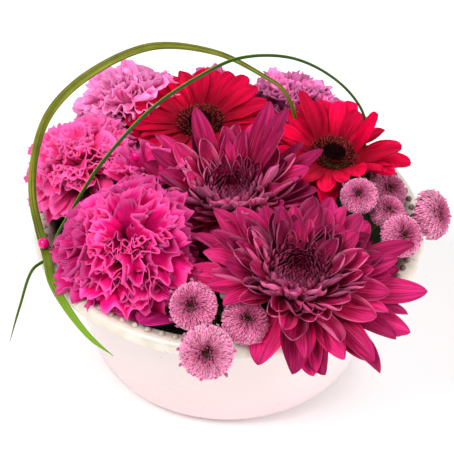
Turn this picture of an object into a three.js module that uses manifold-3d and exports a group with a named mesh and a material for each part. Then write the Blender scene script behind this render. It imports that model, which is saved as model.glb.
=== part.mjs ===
// Floral table centerpiece: a wide ceramic bowl filled with floral foam, and cut flowers that stand in it.
// There are two large chrysanthemums, two gerberas, six carnations, two sprays of small button
// chrysanthemums, leaves, one tucked petal, two long blades of grass that arch over the top, and three pins
// with round heads.
// Millimetres, +Z up. The origin is the centre of the bowl's foot, -Y is the front and +X the right.

import * as THREE from "three";
import { mergeVertices } from "three/addons/utils/BufferGeometryUtils.js";
import Module from "manifold-3d";

const wasm = await Module();
wasm.setup();

// ---------------------------------------------------------------- driving dimensions

const RIM_R = 110; // outer radius of the bowl's rim
const BOWL_H = 92; // height of the bowl
const FOOT_R = 64; // radius of the flat foot
// Radius and height of the bowl's side, from low to high.
const SIDE = [
  [80, 17],
  [83.5, 32],
  [91.5, 60],
];
const WALL = 4.6; // thickness of the bowl's wall
const LIP_H = 11; // height of the band under the rim
const BEADS = 84; // beads round the inner edge of the rim
const BEAD_R = 1.9;
const BEAD_RING_R = RIM_R - 6.2;

const FOAM_TOP = 80; // level of the floral foam
const FOAM_GAP = 0.5; // between the foam and the bowl's wall
const STEM_DEPTH = 28; // how far a stem is pushed into the foam
const STEM_REACH = 77; // how far from the middle a stem may stand
const HOLE_GAP = 0.35; // between a stem and its hole in the foam
const SEAT_GAP = 0.3; // between a bloom and the green cup that it grows on

const BLADE = 0.9; // thickness of a petal along its middle
const CLEAR = 1.3; // room that a petal keeps to what is next to it

const MUM_R = 66; // reach of a large chrysanthemum's outer petals
const GERBERA_R = 43; // reach of a gerbera's rays
const BUTTON_R = 15; // radius of a button chrysanthemum

// ---------------------------------------------------------------- where the flowers are

// Each flower has the centre of its base, the way its face looks and, where it differs, its size.
const MUMS = [
  { name: "mum_middle", base: [1, -7, 100], face: [0, -0.1, 1], seed: 11, scale: 1.03 },
  { name: "mum_front", base: [35, -70, 98.5], face: [0.1, -0.24, 1], seed: 23, scale: 0.97 },
];
const GERBERAS = [
  { name: "gerbera_back", base: [-17, 54, 115], face: [-0.08, -0.12, 1], seed: 31, scale: 1.03 },
  { name: "gerbera_right", base: [58, 28, 113], face: [0.14, -0.12, 1], seed: 37, scale: 1.0 },
];
const carnation = (name, base, face, radius, seed, rows = 5) => ({
  name: `carnation_${name}`,
  base,
  face,
  radius,
  seed,
  rows,
});
const CARNATIONS = [
  carnation("inner", [-46, 3, 99], [0.05, -0.1, 1], 36, 61),
  carnation("front", [-51, -46, 97], [-0.12, -0.35, 1], 43, 41),
  carnation("left", [-77, 22, 97], [-0.3, 0, 1], 38, 43),
  carnation("back_left", [-54, 74, 98], [-0.2, 0.2, 1], 38, 47),
  carnation("back", [-10, 88, 96], [0, 0.35, 1], 32, 53, 4),
  carnation("back_right", [34, 77, 96], [0.15, 0.25, 1], 34, 59),
];
const button = (name, spray, centre, face, scale) => ({
  name: `button_${name}`,
  spray,
  centre,
  face,
  scale,
});
const BUTTONS = [
  button("front_left", "front", [-17.5, -93.5, 107.5], [-0.35, -0.7, 0.9], 0.92),
  button("front_low", "front", [-10, -124, 104], [-0.1, -1, 0.7], 1.02),
  button("front_right", "front", [9, -98.5, 101.8], [0.35, -0.42, 1], 0.9),
  button("right_outer", "right", [111, -10, 104], [0.9, -0.35, 0.5], 1),
  button("right_back", "right", [88, 14, 101], [0.45, -0.3, 1], 0.85),
  button("right_inner", "right", [71, -13, 118.5], [-0.1, -0.5, 1], 0.75),
  button("right_middle", "right", [87, -12.5, 107], [0.2, -0.3, 1], 0.74),
  button("right_front", "right", [93, -36, 110], [0.45, -0.7, 0.8], 0.85),
];
const BUD = { centre: [73, 8, 112], radius: 4.2 };

// ---------------------------------------------------------------- small tools

const rad = THREE.MathUtils.degToRad;
const vec = (p) => new THREE.Vector3(p[0], p[1], p[2]);

// A repeatable draw from 0 to 1.
function draw(seed, index) {
  const x = Math.sin(seed * 12.9898 + index * 78.233) * 43758.5453;
  return x - Math.floor(x);
}

// The same, from -1 to 1.
const sway = (seed, index) => 2 * draw(seed, index) - 1;

function solidOf(points, triangles) {
  const make = (tris) =>
    new wasm.Manifold(
      new wasm.Mesh({
        numProp: 3,
        vertProperties: Float32Array.from(points),
        triVerts: Uint32Array.from(tris),
      }),
    );
  const made = make(triangles);
  if (made.volume() >= 0) return made;
  const flipped = [];
  for (let i = 0; i < triangles.length; i += 3) {
    flipped.push(triangles[i], triangles[i + 2], triangles[i + 1]);
  }
  return make(flipped);
}

// A closed three.js geometry as a solid.
function solidOfGeometry(geometry) {
  const loose = geometry.index ? geometry.toNonIndexed() : geometry;
  const bare = new THREE.BufferGeometry().setAttribute("position", loose.getAttribute("position"));
  const merged = mergeVertices(bare, 1e-3);
  const index = merged.index.array;
  const kept = [];
  for (let i = 0; i < index.length; i += 3) {
    const [a, b, c] = [index[i], index[i + 1], index[i + 2]];
    if (a !== b && b !== c && c !== a) kept.push(a, b, c);
  }
  return solidOf(merged.attributes.position.array, kept);
}

function joined(solids) {
  const whole = wasm.Manifold.union(solids).simplify(0.08);
  const bodies = whole.decompose();
  bodies.sort((a, b) => b.volume() - a.volume());
  return bodies[0];
}

function meshOf(name, solid, look) {
  const made = solid.getMesh();
  const geometry = new THREE.BufferGeometry();
  const positions = new Float32Array(made.numVert * 3);
  for (let i = 0; i < made.numVert; i++) {
    positions.set(made.vertProperties.subarray(i * made.numProp, i * made.numProp + 3), i * 3);
  }
  geometry.setAttribute("position", new THREE.BufferAttribute(positions, 3));
  geometry.setIndex(new THREE.BufferAttribute(made.triVerts, 1));
  geometry.computeVertexNormals();
  const mesh = new THREE.Mesh(geometry, look);
  mesh.name = name;
  return mesh;
}

// A profile of [radius, height] points turned about the Z axis.
function turned(profile, segments) {
  const points = profile.map(([r, z]) => new THREE.Vector2(r, z));
  return solidOfGeometry(new THREE.LatheGeometry(points, segments).rotateX(Math.PI / 2));
}

// A round stem through points, with a radius at each of them.
function stemSolid(points, radii, sides) {
  const path = points.map(vec);
  const positions = [];
  const triangles = [];
  const across = new THREE.Vector3(1, 0, 0);
  path.forEach((point, i) => {
    const before = path[Math.max(i - 1, 0)];
    const after = path[Math.min(i + 1, path.length - 1)];
    const along = after.clone().sub(before).normalize();
    across.addScaledVector(along, -across.dot(along)).normalize();
    const other = along.clone().cross(across);
    for (let k = 0; k < sides; k++) {
      const turn = (2 * Math.PI * k) / sides;
      const corner = point
        .clone()
        .addScaledVector(across, radii[i] * Math.cos(turn))
        .addScaledVector(other, radii[i] * Math.sin(turn));
      positions.push(corner.x, corner.y, corner.z);
    }
    if (i === 0) return;
    for (let k = 0; k < sides; k++) {
      const [a, b] = [(i - 1) * sides + k, (i - 1) * sides + ((k + 1) % sides)];
      triangles.push(a, b, b + sides, a, b + sides, a + sides);
    }
  });
  const last = (path.length - 1) * sides;
  for (let k = 1; k < sides - 1; k++) {
    triangles.push(0, k + 1, k);
    triangles.push(last, last + k, last + k + 1);
  }
  return solidOf(positions, triangles);
}

// A thin leaf-like solid that runs from a point at its root, through stations, to a point at its tip.
// A station has a point, the way across and the way up, half its width, and how far its edges stand above
// its middle.
function bladeSolid(root, stations, tip, thickness = BLADE) {
  const positions = [];
  const triangles = [];
  const put = (p) => positions.push(p.x, p.y, p.z);
  for (const s of stations) {
    put(s.point.clone().addScaledVector(s.across, -s.half).addScaledVector(s.up, s.cup));
    put(s.point.clone().addScaledVector(s.up, thickness / 2));
    put(s.point.clone().addScaledVector(s.across, s.half).addScaledVector(s.up, s.cup));
    put(s.point.clone().addScaledVector(s.up, -thickness / 2));
  }
  put(root);
  put(tip);
  const last = 4 * (stations.length - 1);
  const [rootPoint, tipPoint] = [last + 4, last + 5];
  for (let k = 0; k < 4; k++) {
    const next = (k + 1) % 4;
    triangles.push(rootPoint, next, k, tipPoint, last + k, last + next);
    for (let i = 0; i < last; i += 4) {
      // Both faces are split from the edge to the middle, so that they stay the same distance apart.
      if (k % 2) triangles.push(i + k, i + next, i + 4 + k, i + next, i + 4 + next, i + 4 + k);
      else triangles.push(i + k, i + next, i + 4 + next, i + k, i + 4 + next, i + 4 + k);
    }
  }
  return solidOf(positions, triangles);
}

// A flower's own frame: its base and its axes in the part's frame.
function frameOf(base, face) {
  const up = vec(face).normalize();
  const turn = new THREE.Quaternion().setFromUnitVectors(new THREE.Vector3(0, 0, 1), up);
  const place = new THREE.Matrix4().compose(vec(base), turn, new THREE.Vector3(1, 1, 1));
  return { place, up, base: vec(base) };
}

// ---------------------------------------------------------------- room between the flowers

// The bowl's outside as [radius, height], from the middle of its foot to the top of its rim.
const bowlOuter = [
  [0, 0],
  [FOOT_R, 0],
  [FOOT_R + 5.5, 2.2],
  [FOOT_R + 11.5, 7],
  ...SIDE,
  [RIM_R - 10.5, BOWL_H - LIP_H - 1],
  [RIM_R - 3, BOWL_H - LIP_H + 1],
  [RIM_R, BOWL_H - 5],
  [RIM_R - 3, BOWL_H],
];

function outerRadius(z) {
  for (let i = 2; i < bowlOuter.length; i++) {
    const [[r0, z0], [r1, z1]] = [bowlOuter[i - 1], bowlOuter[i]];
    if (z <= z1) return r0 + ((r1 - r0) * Math.max(z - z0, 0)) / (z1 - z0);
  }
  return RIM_R;
}

// True where a point is clear of the foam and of the bowl's wall and rim.
function clearOfBowl(p) {
  const r = Math.hypot(p.x, p.y);
  if (p.z > BOWL_H + BEAD_R + CLEAR) return true;
  if (r < BEAD_RING_R - 12) return p.z > FOAM_TOP + CLEAR;
  return r > Math.max(outerRadius(p.z), RIM_R * (p.z > BOWL_H - LIP_H ? 1 : 0)) + CLEAR;
}

const ballAt = (centre, radius) => {
  const c = vec(centre);
  return (p) => p.distanceTo(c) > radius + CLEAR;
};

// The side of the plane between two round things on which the first lies.
function sideOf(a, ra, b, rb) {
  const [from, to] = [vec(a), vec(b)];
  const gap = to.clone().sub(from);
  const span = gap.length();
  gap.normalize();
  const reach = (span * span + ra * ra - rb * rb) / (2 * span) - CLEAR / 2;
  return (p) => p.clone().sub(from).dot(gap) < reach;
}

function capsuleAt(a, b, radius) {
  const line = new THREE.Line3(vec(a), vec(b));
  const near = new THREE.Vector3();
  return (p) => line.closestPointToPoint(p, true, near).distanceTo(p) > radius + CLEAR;
}

// Keeps the way free along which a flower's heart is seen from the front, 39 degrees above level.
const FRONT_VIEW = new THREE.Vector3(0, -Math.cos(rad(39)), Math.sin(rad(39)));
const SIGHT = 90;
const SIGHT_R = 19;
const sightOf = (centre, radius) =>
  capsuleAt(centre, vec(centre).addScaledVector(FRONT_VIEW, SIGHT).toArray(), radius);

// ---------------------------------------------------------------- petals

// How far along a petal its stations are, and half its width there as a share of its whole width.
const LONG_PETAL = [
  [0.42, 0.44],
  [0.84, 0.42],
];
const SHORT_PETAL = [[0.7, 0.5]];

// A point of a petal's middle line, which leaves the flower's axis at `lift` and bends by `curl` in all.
function spineAt(petal, share) {
  const bend = petal.curl || 1e-4;
  const out = (Math.sin(petal.lift + bend * share) - Math.sin(petal.lift)) / bend;
  const rise = (Math.cos(petal.lift) - Math.cos(petal.lift + bend * share)) / bend;
  const slope = petal.lift + bend * share;
  const radial = new THREE.Vector3(Math.cos(petal.turn), Math.sin(petal.turn), 0);
  const zAxis = new THREE.Vector3(0, 0, 1);
  const point = radial
    .clone()
    .multiplyScalar(petal.root + petal.length * out)
    .addScaledVector(zAxis, petal.height + petal.length * rise);
  const along = radial.clone().multiplyScalar(Math.cos(slope)).addScaledVector(zAxis, Math.sin(slope));
  const up = radial.clone().multiplyScalar(-Math.sin(slope)).addScaledVector(zAxis, Math.cos(slope));
  return { point, up, across: along.cross(up) };
}

// Ways to move a petal aside, from the least to the most: lifted and turned, in degrees, and shortened.
const EASINGS = [];
for (const lift of [0, 4, 8, 12, 16, 21, 26, 32, 38, 45, 52, 60, 68, 76]) {
  for (const turn of [0, 7, -7, 14, -14]) {
    for (const length of [1, 0.93, 0.86, 0.79, 0.72, 0.64, 0.56]) {
      EASINGS.push({ lift, turn, length, cost: lift / 6 + Math.abs(turn) / 20 + (1 - length) * 16 });
    }
  }
}
EASINGS.sort((a, b) => a.cost - b.cost);

function eased(petal, easing) {
  const turn = petal.turn + rad(easing.turn);
  return { ...petal, turn, lift: petal.lift + rad(easing.lift), length: petal.length * easing.length };
}

// Places petals one by one round a core, the innermost row first. Each is lifted, turned and shortened as
// little as it takes to be clear of what stands round the flower and of the petals before it. One that fits
// nowhere is left out.
function grownPetals(petals, make, place, core, clearances, neighbours) {
  const grown = [];
  const outside = [];
  for (const petal of petals.toReversed()) {
    for (const easing of EASINGS) {
      const tried = eased(petal, easing);
      if (tried.lift > rad(96) || !petalClears(tried, place, clearances)) continue;
      if (neighbours.some((other) => touches(make({ ...tried, spare: 0.9 }, place), other))) continue;
      const solid = make(tried, place);
      if (outside.some((other) => touches(solid, other))) continue;
      grown.push(solid);
      outside.push(make({ ...tried, spare: 0.15 }, place).subtract(core));
      break;
    }
  }
  return grown;
}

function touches(a, b) {
  const [boxA, boxB] = [a.boundingBox(), b.boundingBox()];
  for (let k = 0; k < 3; k++) if (boxA.min[k] > boxB.max[k] || boxB.min[k] > boxA.max[k]) return false;
  return a.intersect(b).volume() > 1e-4;
}

function petalClears(petal, place, clearances) {
  for (const share of [0.3, 0.45, 0.6, 0.75, 0.9, 1]) {
    const s = spineAt(petal, share);
    const half = petal.width * 0.5 * (share < 0.4 ? 0.6 : share < 1 ? 0.95 : petal.fan ? 0.9 : 0.15);
    for (const side of [-1, -0.5, 0, 0.5, 1]) {
      const p = s.point.clone().addScaledVector(s.across, side * half).applyMatrix4(place);
      if (!clearances.every((isClear) => isClear(p))) return false;
    }
  }
  return true;
}

// A long petal, cupped along its length, widest past its middle, with a blunt tip.
function petalSolid(petal, place) {
  const spare = petal.spare ?? 0; // room round it, where it is tried against its neighbours
  const shape = petal.length > 22 ? LONG_PETAL : SHORT_PETAL;
  const stations = shape.map(([share, half]) => {
    const s = spineAt(petal, share);
    return {
      point: s.point.applyMatrix4(place),
      across: s.across.transformDirection(place),
      up: s.up.transformDirection(place),
      half: petal.width * half + spare,
      cup: petal.width * petal.cup,
    };
  });
  const root = spineAt(petal, 0).point.applyMatrix4(place);
  const tip = spineAt(petal, 1 + spare / petal.length);
  tip.point.addScaledVector(tip.up, petal.width * petal.cup * 0.6);
  return bladeSolid(root, stations, tip.point.applyMatrix4(place), BLADE + 2 * spare);
}

// A carnation's petal: a narrow root that widens into a fan with a toothed, ruffled outer edge.
function fanSolid(petal, place) {
  const TEETH = 7;
  const spare = petal.spare ?? 0;
  const half = petal.width * 0.5 + spare;
  const outline = [];
  const at = (share, side, rise) => {
    const s = spineAt(petal, share);
    return s.point.addScaledVector(s.across, side).addScaledVector(s.up, rise).applyMatrix4(place);
  };
  outline.push(at(0, 0, 0), at(0.55, petal.width * 0.33, petal.ruffle * 0.5));
  for (let k = 0; k < TEETH; k++) {
    const across = 1 - (2 * k) / (TEETH - 1);
    const tooth = k % 2 ? 0.94 : 1;
    const share = tooth * (1 - 0.13 * across * across);
    outline.push(at(share * (1 + spare / petal.length), half * across, petal.ruffle * (k % 2 ? -1 : 1)));
  }
  outline.push(at(0.55, -petal.width * 0.33, petal.ruffle * 0.5));
  const hubs = [at(0.5, 0, BLADE / 2 + spare), at(0.5, 0, -BLADE / 2 - spare)];
  const positions = [...outline, ...hubs].flatMap((p) => [p.x, p.y, p.z]);
  const count = outline.length;
  const triangles = [];
  for (let k = 0; k < count; k++) {
    const next = (k + 1) % count;
    triangles.push(count, k, next, count + 1, next, k);
  }
  return solidOf(positions, triangles);
}

// A rounded head covered with small bumps, one for each floret: every other point of its grid stands out.
// The profile gives [radius, height, how far the bumps stand out] from the pole down, and ends on the axis.
function floretHead(profile, around, place) {
  const positions = [];
  const triangles = [];
  const put = (x, y, z) => {
    const p = new THREE.Vector3(x, y, z).applyMatrix4(place);
    positions.push(p.x, p.y, p.z);
  };
  put(0, 0, profile[0][1]);
  const rings = profile.slice(1, -1);
  rings.forEach(([r, z, bump = 0], i) => {
    for (let k = 0; k < around; k++) {
      const turn = (2 * Math.PI * k) / around;
      const out = (i + k) % 2 ? 0 : bump;
      const stretch = 1 + out / Math.hypot(r, Math.abs(z) + r * 0.5);
      put(r * stretch * Math.cos(turn), r * stretch * Math.sin(turn), z + out * 0.6);
    }
  });
  put(0, 0, profile[profile.length - 1][1]);
  const last = positions.length / 3 - 1;
  for (let k = 0; k < around; k++) {
    const next = (k + 1) % around;
    triangles.push(0, 1 + k, 1 + next);
    for (let i = 0; i < rings.length - 1; i++) {
      const [a, b] = [1 + i * around + k, 1 + i * around + next];
      if ((i + k) % 2) triangles.push(a, a + around, b, b, a + around, b + around);
      else triangles.push(a, a + around, b + around, a, b + around, b);
    }
    const low = 1 + (rings.length - 1) * around;
    triangles.push(low + k, last, low + next);
  }
  return solidOf(positions, triangles);
}

// ---------------------------------------------------------------- what each flower has to keep clear of

const mumFrames = MUMS.map((f) => frameOf(f.base, f.face));
const gerberaFrames = GERBERAS.map((f) => frameOf(f.base, f.face));
const carnationFrames = CARNATIONS.map((f) => frameOf(f.base, f.face));

const buttonBalls = BUTTONS.map((b) => ballAt(b.centre, BUTTON_R * b.scale));
const budBall = ballAt(BUD.centre, BUD.radius + 1);
const carnationHearts = CARNATIONS.map((c) => ballAt(c.base, c.radius * 0.62));
const mumHearts = MUMS.map((m, i) =>
  ballAt(mumFrames[i].base.clone().addScaledVector(mumFrames[i].up, 12).toArray(), 25),
);
const middleHeart = mumFrames[0].base.clone().addScaledVector(mumFrames[0].up, 26).toArray();

// ---------------------------------------------------------------- the pins and the grass

const PINS = [
  { name: "pin_rim", head: [-100.7, -35.7, 100.3], point: [-79, -24, 72], headRadius: 3.1 },
  { name: "pin_inner", head: [-52, 8, 128], point: [-66, 2, 71], headRadius: 2.9 },
  { name: "pin_front", head: [-1.5, -76, 101], point: [-1.5, -74, 66], headRadius: 2.8 },
];

// Long blades of grass: points along the middle, from the root in the foam to the tip.
const GRASS = [
  {
    name: "grass_wide",
    points: [
      [42, 45, 58],
      [41, 46, 84],
      [38, 46, 120],
      [30, 40, 150],
      [17, 33, 166],
      [-10, 24, 187],
      [-44, 19, 193],
      [-78, 9, 180],
      [-98, 2, 160],
      [-107, -3, 133],
      [-108, -12, 112],
      [-103.5, -25, 99],
      [-98.5, -42, 96],
      [-94, -62, 95.2],
      [-84, -79, 90],
      [-72, -91, 82],
      [-59, -98, 75],
    ],
    widths: [2.4, 2.4, 2.4, 2.4, 2.5, 3.4, 4.6, 5.2, 5, 4.6, 4.8, 5.2, 5.4, 5.2, 4.4, 3, 1.2],
    faceUp: [0.2, -0.7, 0.7],
  },
  {
    name: "grass_narrow",
    points: [
      [70, 37, 58],
      [71, 38, 84],
      [77, 42, 116],
      [74, 39, 138],
      [57, 32, 165],
      [31, 23, 185],
      [4, 17, 188],
      [-17, 8, 182],
      [-43, -4, 168],
      [-70, -17, 140],
      [-86, -25, 114],
      [-93.5, -32, 102.5],
      [-97.5, -38.5, 93.2],
      [-106, -47, 91],
      [-113, -57, 73],
      [-119, -67, 54],
    ],
    widths: [2, 2, 2, 2, 2, 2.2, 2.4, 2.6, 2.6, 2.6, 2.4, 2.2, 2.2, 2.2, 1.8, 1],
    faceUp: [0, -0.6, 0.8],
  },
];

const pinHeads = PINS.map((pin) => ballAt(pin.head, pin.headRadius));

// Slightly fuller shapes of the grass and the pins, which no petal may touch.
const guards = [
  ...GRASS.map((grass) => stemSolid(grass.points.slice(1), grass.points.slice(1).map(() => 3.2), 6)),
  ...PINS.map((pin) => stemSolid([pin.point, pin.head], [1.4, 1.4], 5)),
];

// ---------------------------------------------------------------- looks

const look = (color, roughness) => new THREE.MeshStandardMaterial({ color, roughness, metalness: 0 });
const LOOKS = {
  ceramic: look(0xf7e2e2, 0.3),
  foam: look(0x1d2417, 0.95),
  mum: look(0xa81c5e, 0.6),
  gerbera: look(0xc8082f, 0.55),
  gerberaDisc: look(0x1c070a, 0.8),
  carnation: look(0xd8349a, 0.65),
  button: look(0xc9709f, 0.7),
  green: look(0x3f5f1c, 0.6),
  leaf: look(0x24331a, 0.6),
  grass: look(0x5d7d1f, 0.5),
  pearlPink: look(0xd81a7c, 0.2),
  pearlWhite: look(0xf2ece2, 0.2),
};

// ---------------------------------------------------------------- the bowl and its foam

function bowlSolid() {
  const inner = [
    [BEAD_RING_R - 2.6, BOWL_H],
    [BEAD_RING_R - 4.6, BOWL_H - 2.5],
    [RIM_R - 11 - WALL, BOWL_H - LIP_H],
    ...SIDE.map(([r, z]) => [r - WALL, z]).reverse(),
    [FOOT_R - 1, 8.4],
    [0, 6],
  ];
  const pieces = [turned([...bowlOuter, ...inner], 48)];
  for (let k = 0; k < BEADS; k++) {
    const turn = (2 * Math.PI * (k + 0.5)) / BEADS;
    const bead = new THREE.OctahedronGeometry(BEAD_R, 0).rotateX(Math.PI / 2).rotateZ(turn);
    bead.translate(BEAD_RING_R * Math.cos(turn), BEAD_RING_R * Math.sin(turn), BOWL_H - 0.15);
    pieces.push(solidOfGeometry(bead));
  }
  return joined(pieces);
}

function foamSolid(holes) {
  const block = turned(
    [
      [0, 6.4],
      [FOOT_R - 2, 8.9],
      ...SIDE.map(([r, z]) => [r - WALL - FOAM_GAP - 0.8, z]),
      [RIM_R - 18, FOAM_TOP - 4],
      [RIM_R - 21, FOAM_TOP],
      [0, FOAM_TOP],
    ],
    28,
  );
  return holes.reduce((rest, hole) => rest.subtract(hole), block);
}

// Where a stem enters the foam: under the flower's cup, and within reach of the bowl's middle.
function stemRoot(frame, down) {
  const under = frame.base.clone().addScaledVector(frame.up, -down);
  const root = new THREE.Vector2(under.x - frame.up.x * 7, under.y - frame.up.y * 7);
  return root.clampLength(0, STEM_REACH);
}

const holes = [];
function holeFor(x, y, radius, depth = STEM_DEPTH) {
  const drill = stemSolid(
    [
      [x, y, FOAM_TOP - depth - HOLE_GAP],
      [x, y, FOAM_TOP + 6],
    ],
    [radius + HOLE_GAP * 1.6, radius + HOLE_GAP * 1.6],
    6,
  );
  holes.push(drill);
}

// The green cup under a flower and the stem below it, as one grown piece.
function cupAndStem(frame, cup, stemRadius) {
  const root = stemRoot(frame, cup.length + 1);
  const onAxis = (down) => frame.base.clone().addScaledVector(frame.up, -down).toArray();
  const points = [
    [root.x, root.y, FOAM_TOP - STEM_DEPTH],
    [root.x, root.y, FOAM_TOP + 2],
    onAxis(cup.length + 2),
    onAxis(cup.length * 0.75 + SEAT_GAP),
    onAxis(cup.length * 0.35 + SEAT_GAP),
    onAxis(SEAT_GAP),
  ];
  const radii = [stemRadius, stemRadius, stemRadius, cup.radius * 0.62, cup.radius * 0.95, cup.radius];
  holeFor(root.x, root.y, stemRadius);
  return stemSolid(points, radii, 6);
}

// ---------------------------------------------------------------- the flowers

// Rows of a large chrysanthemum, from the outermost: how many petals, where they leave the core, how
// steeply they rise and bend, and their length and width.
const MUM_ROWS = [
  { count: 12, root: 6, height: 2.5, lift: 0, curl: -14, length: 1, width: 17 },
  { count: 12, root: 6, height: 5, lift: 8, curl: -10, length: 0.93, width: 16 },
  { count: 12, root: 6, height: 8, lift: 14, curl: -2, length: 0.79, width: 14.5 },
  { count: 11, root: 6, height: 11, lift: 21, curl: 6, length: 0.61, width: 12.5 },
  { count: 10, root: 6, height: 14, lift: 29, curl: 14, length: 0.46, width: 10.5 },
  { count: 9, root: 5, height: 17, lift: 38, curl: 26, length: 0.33, width: 8.5 },
  { count: 8, root: 5, height: 20, lift: 48, curl: 36, length: 0.21, width: 6.5 },
  { count: 6, root: 4, height: 22, lift: 62, curl: 42, length: 0.14, width: 5 },
];

function mumPetals(flower) {
  return MUM_ROWS.flatMap((row, r) =>
    Array.from({ length: row.count }, (_, k) => {
      const index = r * 40 + k;
      return {
        turn: (2 * Math.PI * (k + 0.5 * (r % 2) + 0.16 * sway(flower.seed, index))) / row.count,
        root: row.root,
        height: row.height,
        lift: rad(row.lift + 3 * sway(flower.seed, index + 1000)),
        curl: rad(row.curl),
        length: row.length * (MUM_R - 6) * flower.scale * (1 + 0.07 * sway(flower.seed, index + 2000)),
        width: row.width * flower.scale,
        cup: 0.16,
      };
    }),
  );
}

function mumBloom(flower, i, neighbours) {
  const frame = mumFrames[i];
  const other = 1 - i;
  const clearances = [
    clearOfBowl,
    ...carnationHearts,
    ...buttonBalls,
    budBall,
    sideOf(flower.base, 40, MUMS[other].base, 40),
    ...pinHeads,
    ...(i === 1 ? [sightOf(middleHeart, SIGHT_R)] : []),
  ];
  const core = floretHead(
    [[0, 24.5], [3, 25, 1.2], [6, 24, 1.2], [8.6, 21], [9.6, 12], [7.5, 0], [0, 0]],
    10,
    frame.place,
  );
  const petals = grownPetals(mumPetals(flower), petalSolid, frame.place, core, clearances, neighbours);
  const bloom = joined([core, ...petals]);
  return [{ name: `${flower.name}_petals`, solid: bloom, color: LOOKS.mum }];
}

const GERBERA_ROWS = [
  { count: 13, height: 1.6, lift: 5, curl: -4, length: 1, width: 12.5 },
  { count: 12, height: 3.2, lift: 16, curl: -8, length: 0.88, width: 11 },
];

function gerberaPetals(flower, hubRadius) {
  const reach = GERBERA_R * flower.scale - hubRadius + 5;
  return GERBERA_ROWS.flatMap((row, r) =>
    Array.from({ length: row.count }, (_, k) => {
      const index = r * 40 + k;
      return {
        turn: (2 * Math.PI * (k + 0.5 * r + 0.12 * sway(flower.seed, index))) / row.count,
        root: hubRadius - 5,
        height: row.height,
        lift: rad(row.lift + 3 * sway(flower.seed, index + 1000)),
        curl: rad(row.curl),
        length: row.length * reach * (1 + 0.05 * sway(flower.seed, index + 2000)),
        width: row.width * flower.scale,
        cup: 0.06,
      };
    }),
  );
}

function gerberaBloom(flower, i, neighbours) {
  const frame = gerberaFrames[i];
  const clearances = [clearOfBowl, ...carnationHearts, ...buttonBalls, budBall, ...mumHearts, ...pinHeads];
  const hubRadius = 16.5 * flower.scale;
  // The hub carries the ring of short dark red florets, and has a shallow seat for the dark disc.
  const hubProfile = [[0, 3.5], [9.4, 3.5], [10.6, 6, 1.1], [13.5, 6.4, 1.1], [16.4, 5], [15, 0], [0, 0]];
  const seat = 3.5 + SEAT_GAP;
  const discProfile = [[0, 6.4], [3, 6.9, 0.6], [6, 6.3, 0.6], [8, 5], [7.6, seat], [0, seat]];
  const scaled = (profile) => profile.map(([r, z, bump]) => [r * flower.scale, z, bump]);
  const hub = floretHead(scaled(hubProfile), 16, frame.place);
  const disc = floretHead(scaled(discProfile), 10, frame.place);
  const petals = gerberaPetals(flower, hubRadius);
  const rays = grownPetals(petals, petalSolid, frame.place, hub, clearances, neighbours);
  return [
    { name: `${flower.name}_rays`, solid: joined([hub, ...rays]), color: LOOKS.gerbera },
    { name: `${flower.name}_disc`, solid: disc, color: LOOKS.gerberaDisc },
  ];
}

const CARNATION_ROWS = [
  { count: 6, lift: -2, curl: 8, width: 0.92 },
  { count: 6, lift: 20, curl: 10, width: 0.82 },
  { count: 5, lift: 42, curl: 12, width: 0.72 },
  { count: 4, lift: 60, curl: 16, width: 0.6 },
  { count: 2, lift: 80, curl: 10, width: 0.5 },
];

function carnationPetals(flower) {
  return CARNATION_ROWS.slice(CARNATION_ROWS.length - flower.rows).flatMap((row, r) =>
    Array.from({ length: row.count }, (_, k) => {
      const index = r * 40 + k;
      return {
        turn: (2 * Math.PI * (k + 0.5 * (r % 2) + 0.12 * sway(flower.seed, index))) / row.count,
        root: 2,
        height: 3,
        lift: rad(row.lift + 4 * sway(flower.seed, index + 1000)),
        curl: rad(row.curl),
        length: flower.radius * 0.93 * (1 + 0.06 * sway(flower.seed, index + 2000)),
        width: flower.radius * row.width,
        ruffle: 2.2,
        fan: true,
      };
    }),
  );
}

function carnationBloom(flower, i, neighbours) {
  const frame = carnationFrames[i];
  const others = CARNATIONS.filter((c) => c !== flower);
  const clearances = [
    clearOfBowl,
    ...pinHeads,
    ...others.map((c) => sideOf(flower.base, flower.radius, c.base, c.radius)),
  ];
  const core = floretHead([[0, 16], [6, 12], [7.5, 6], [5, 0], [0, 0]], 6, frame.place);
  const petals = grownPetals(carnationPetals(flower), fanSolid, frame.place, core, clearances, neighbours);
  return [{ name: `${flower.name}_petals`, solid: joined([core, ...petals]), color: LOOKS.carnation }];
}

// ---------------------------------------------------------------- the sprays of button chrysanthemums

const BUTTON_PROFILE = [
  [0, 7.2],
  [4, 8.8, 1.3],
  [8.4, 8.6, 1.3],
  [12, 6.4, 1.3],
  [14.2, 2, 1.3],
  [13.6, -2.6, 1.3],
  [7, -6.5],
  [0, -6.5],
];

function buttonMesh(button) {
  const frame = frameOf(button.centre, button.face);
  const profile = BUTTON_PROFILE.map(([r, z, bump]) => [r * button.scale, z * button.scale, bump]);
  return meshOf(button.name, floretHead(profile, 16, frame.place), LOOKS.button);
}

const SPRAYS = [
  { name: "spray_front_stem", spray: "front", root: [-5, -75], fork: [-6, -79, 93] },
  { name: "spray_right_stem", spray: "right", root: [76, -4], fork: [82, -5, 94] },
];

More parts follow.
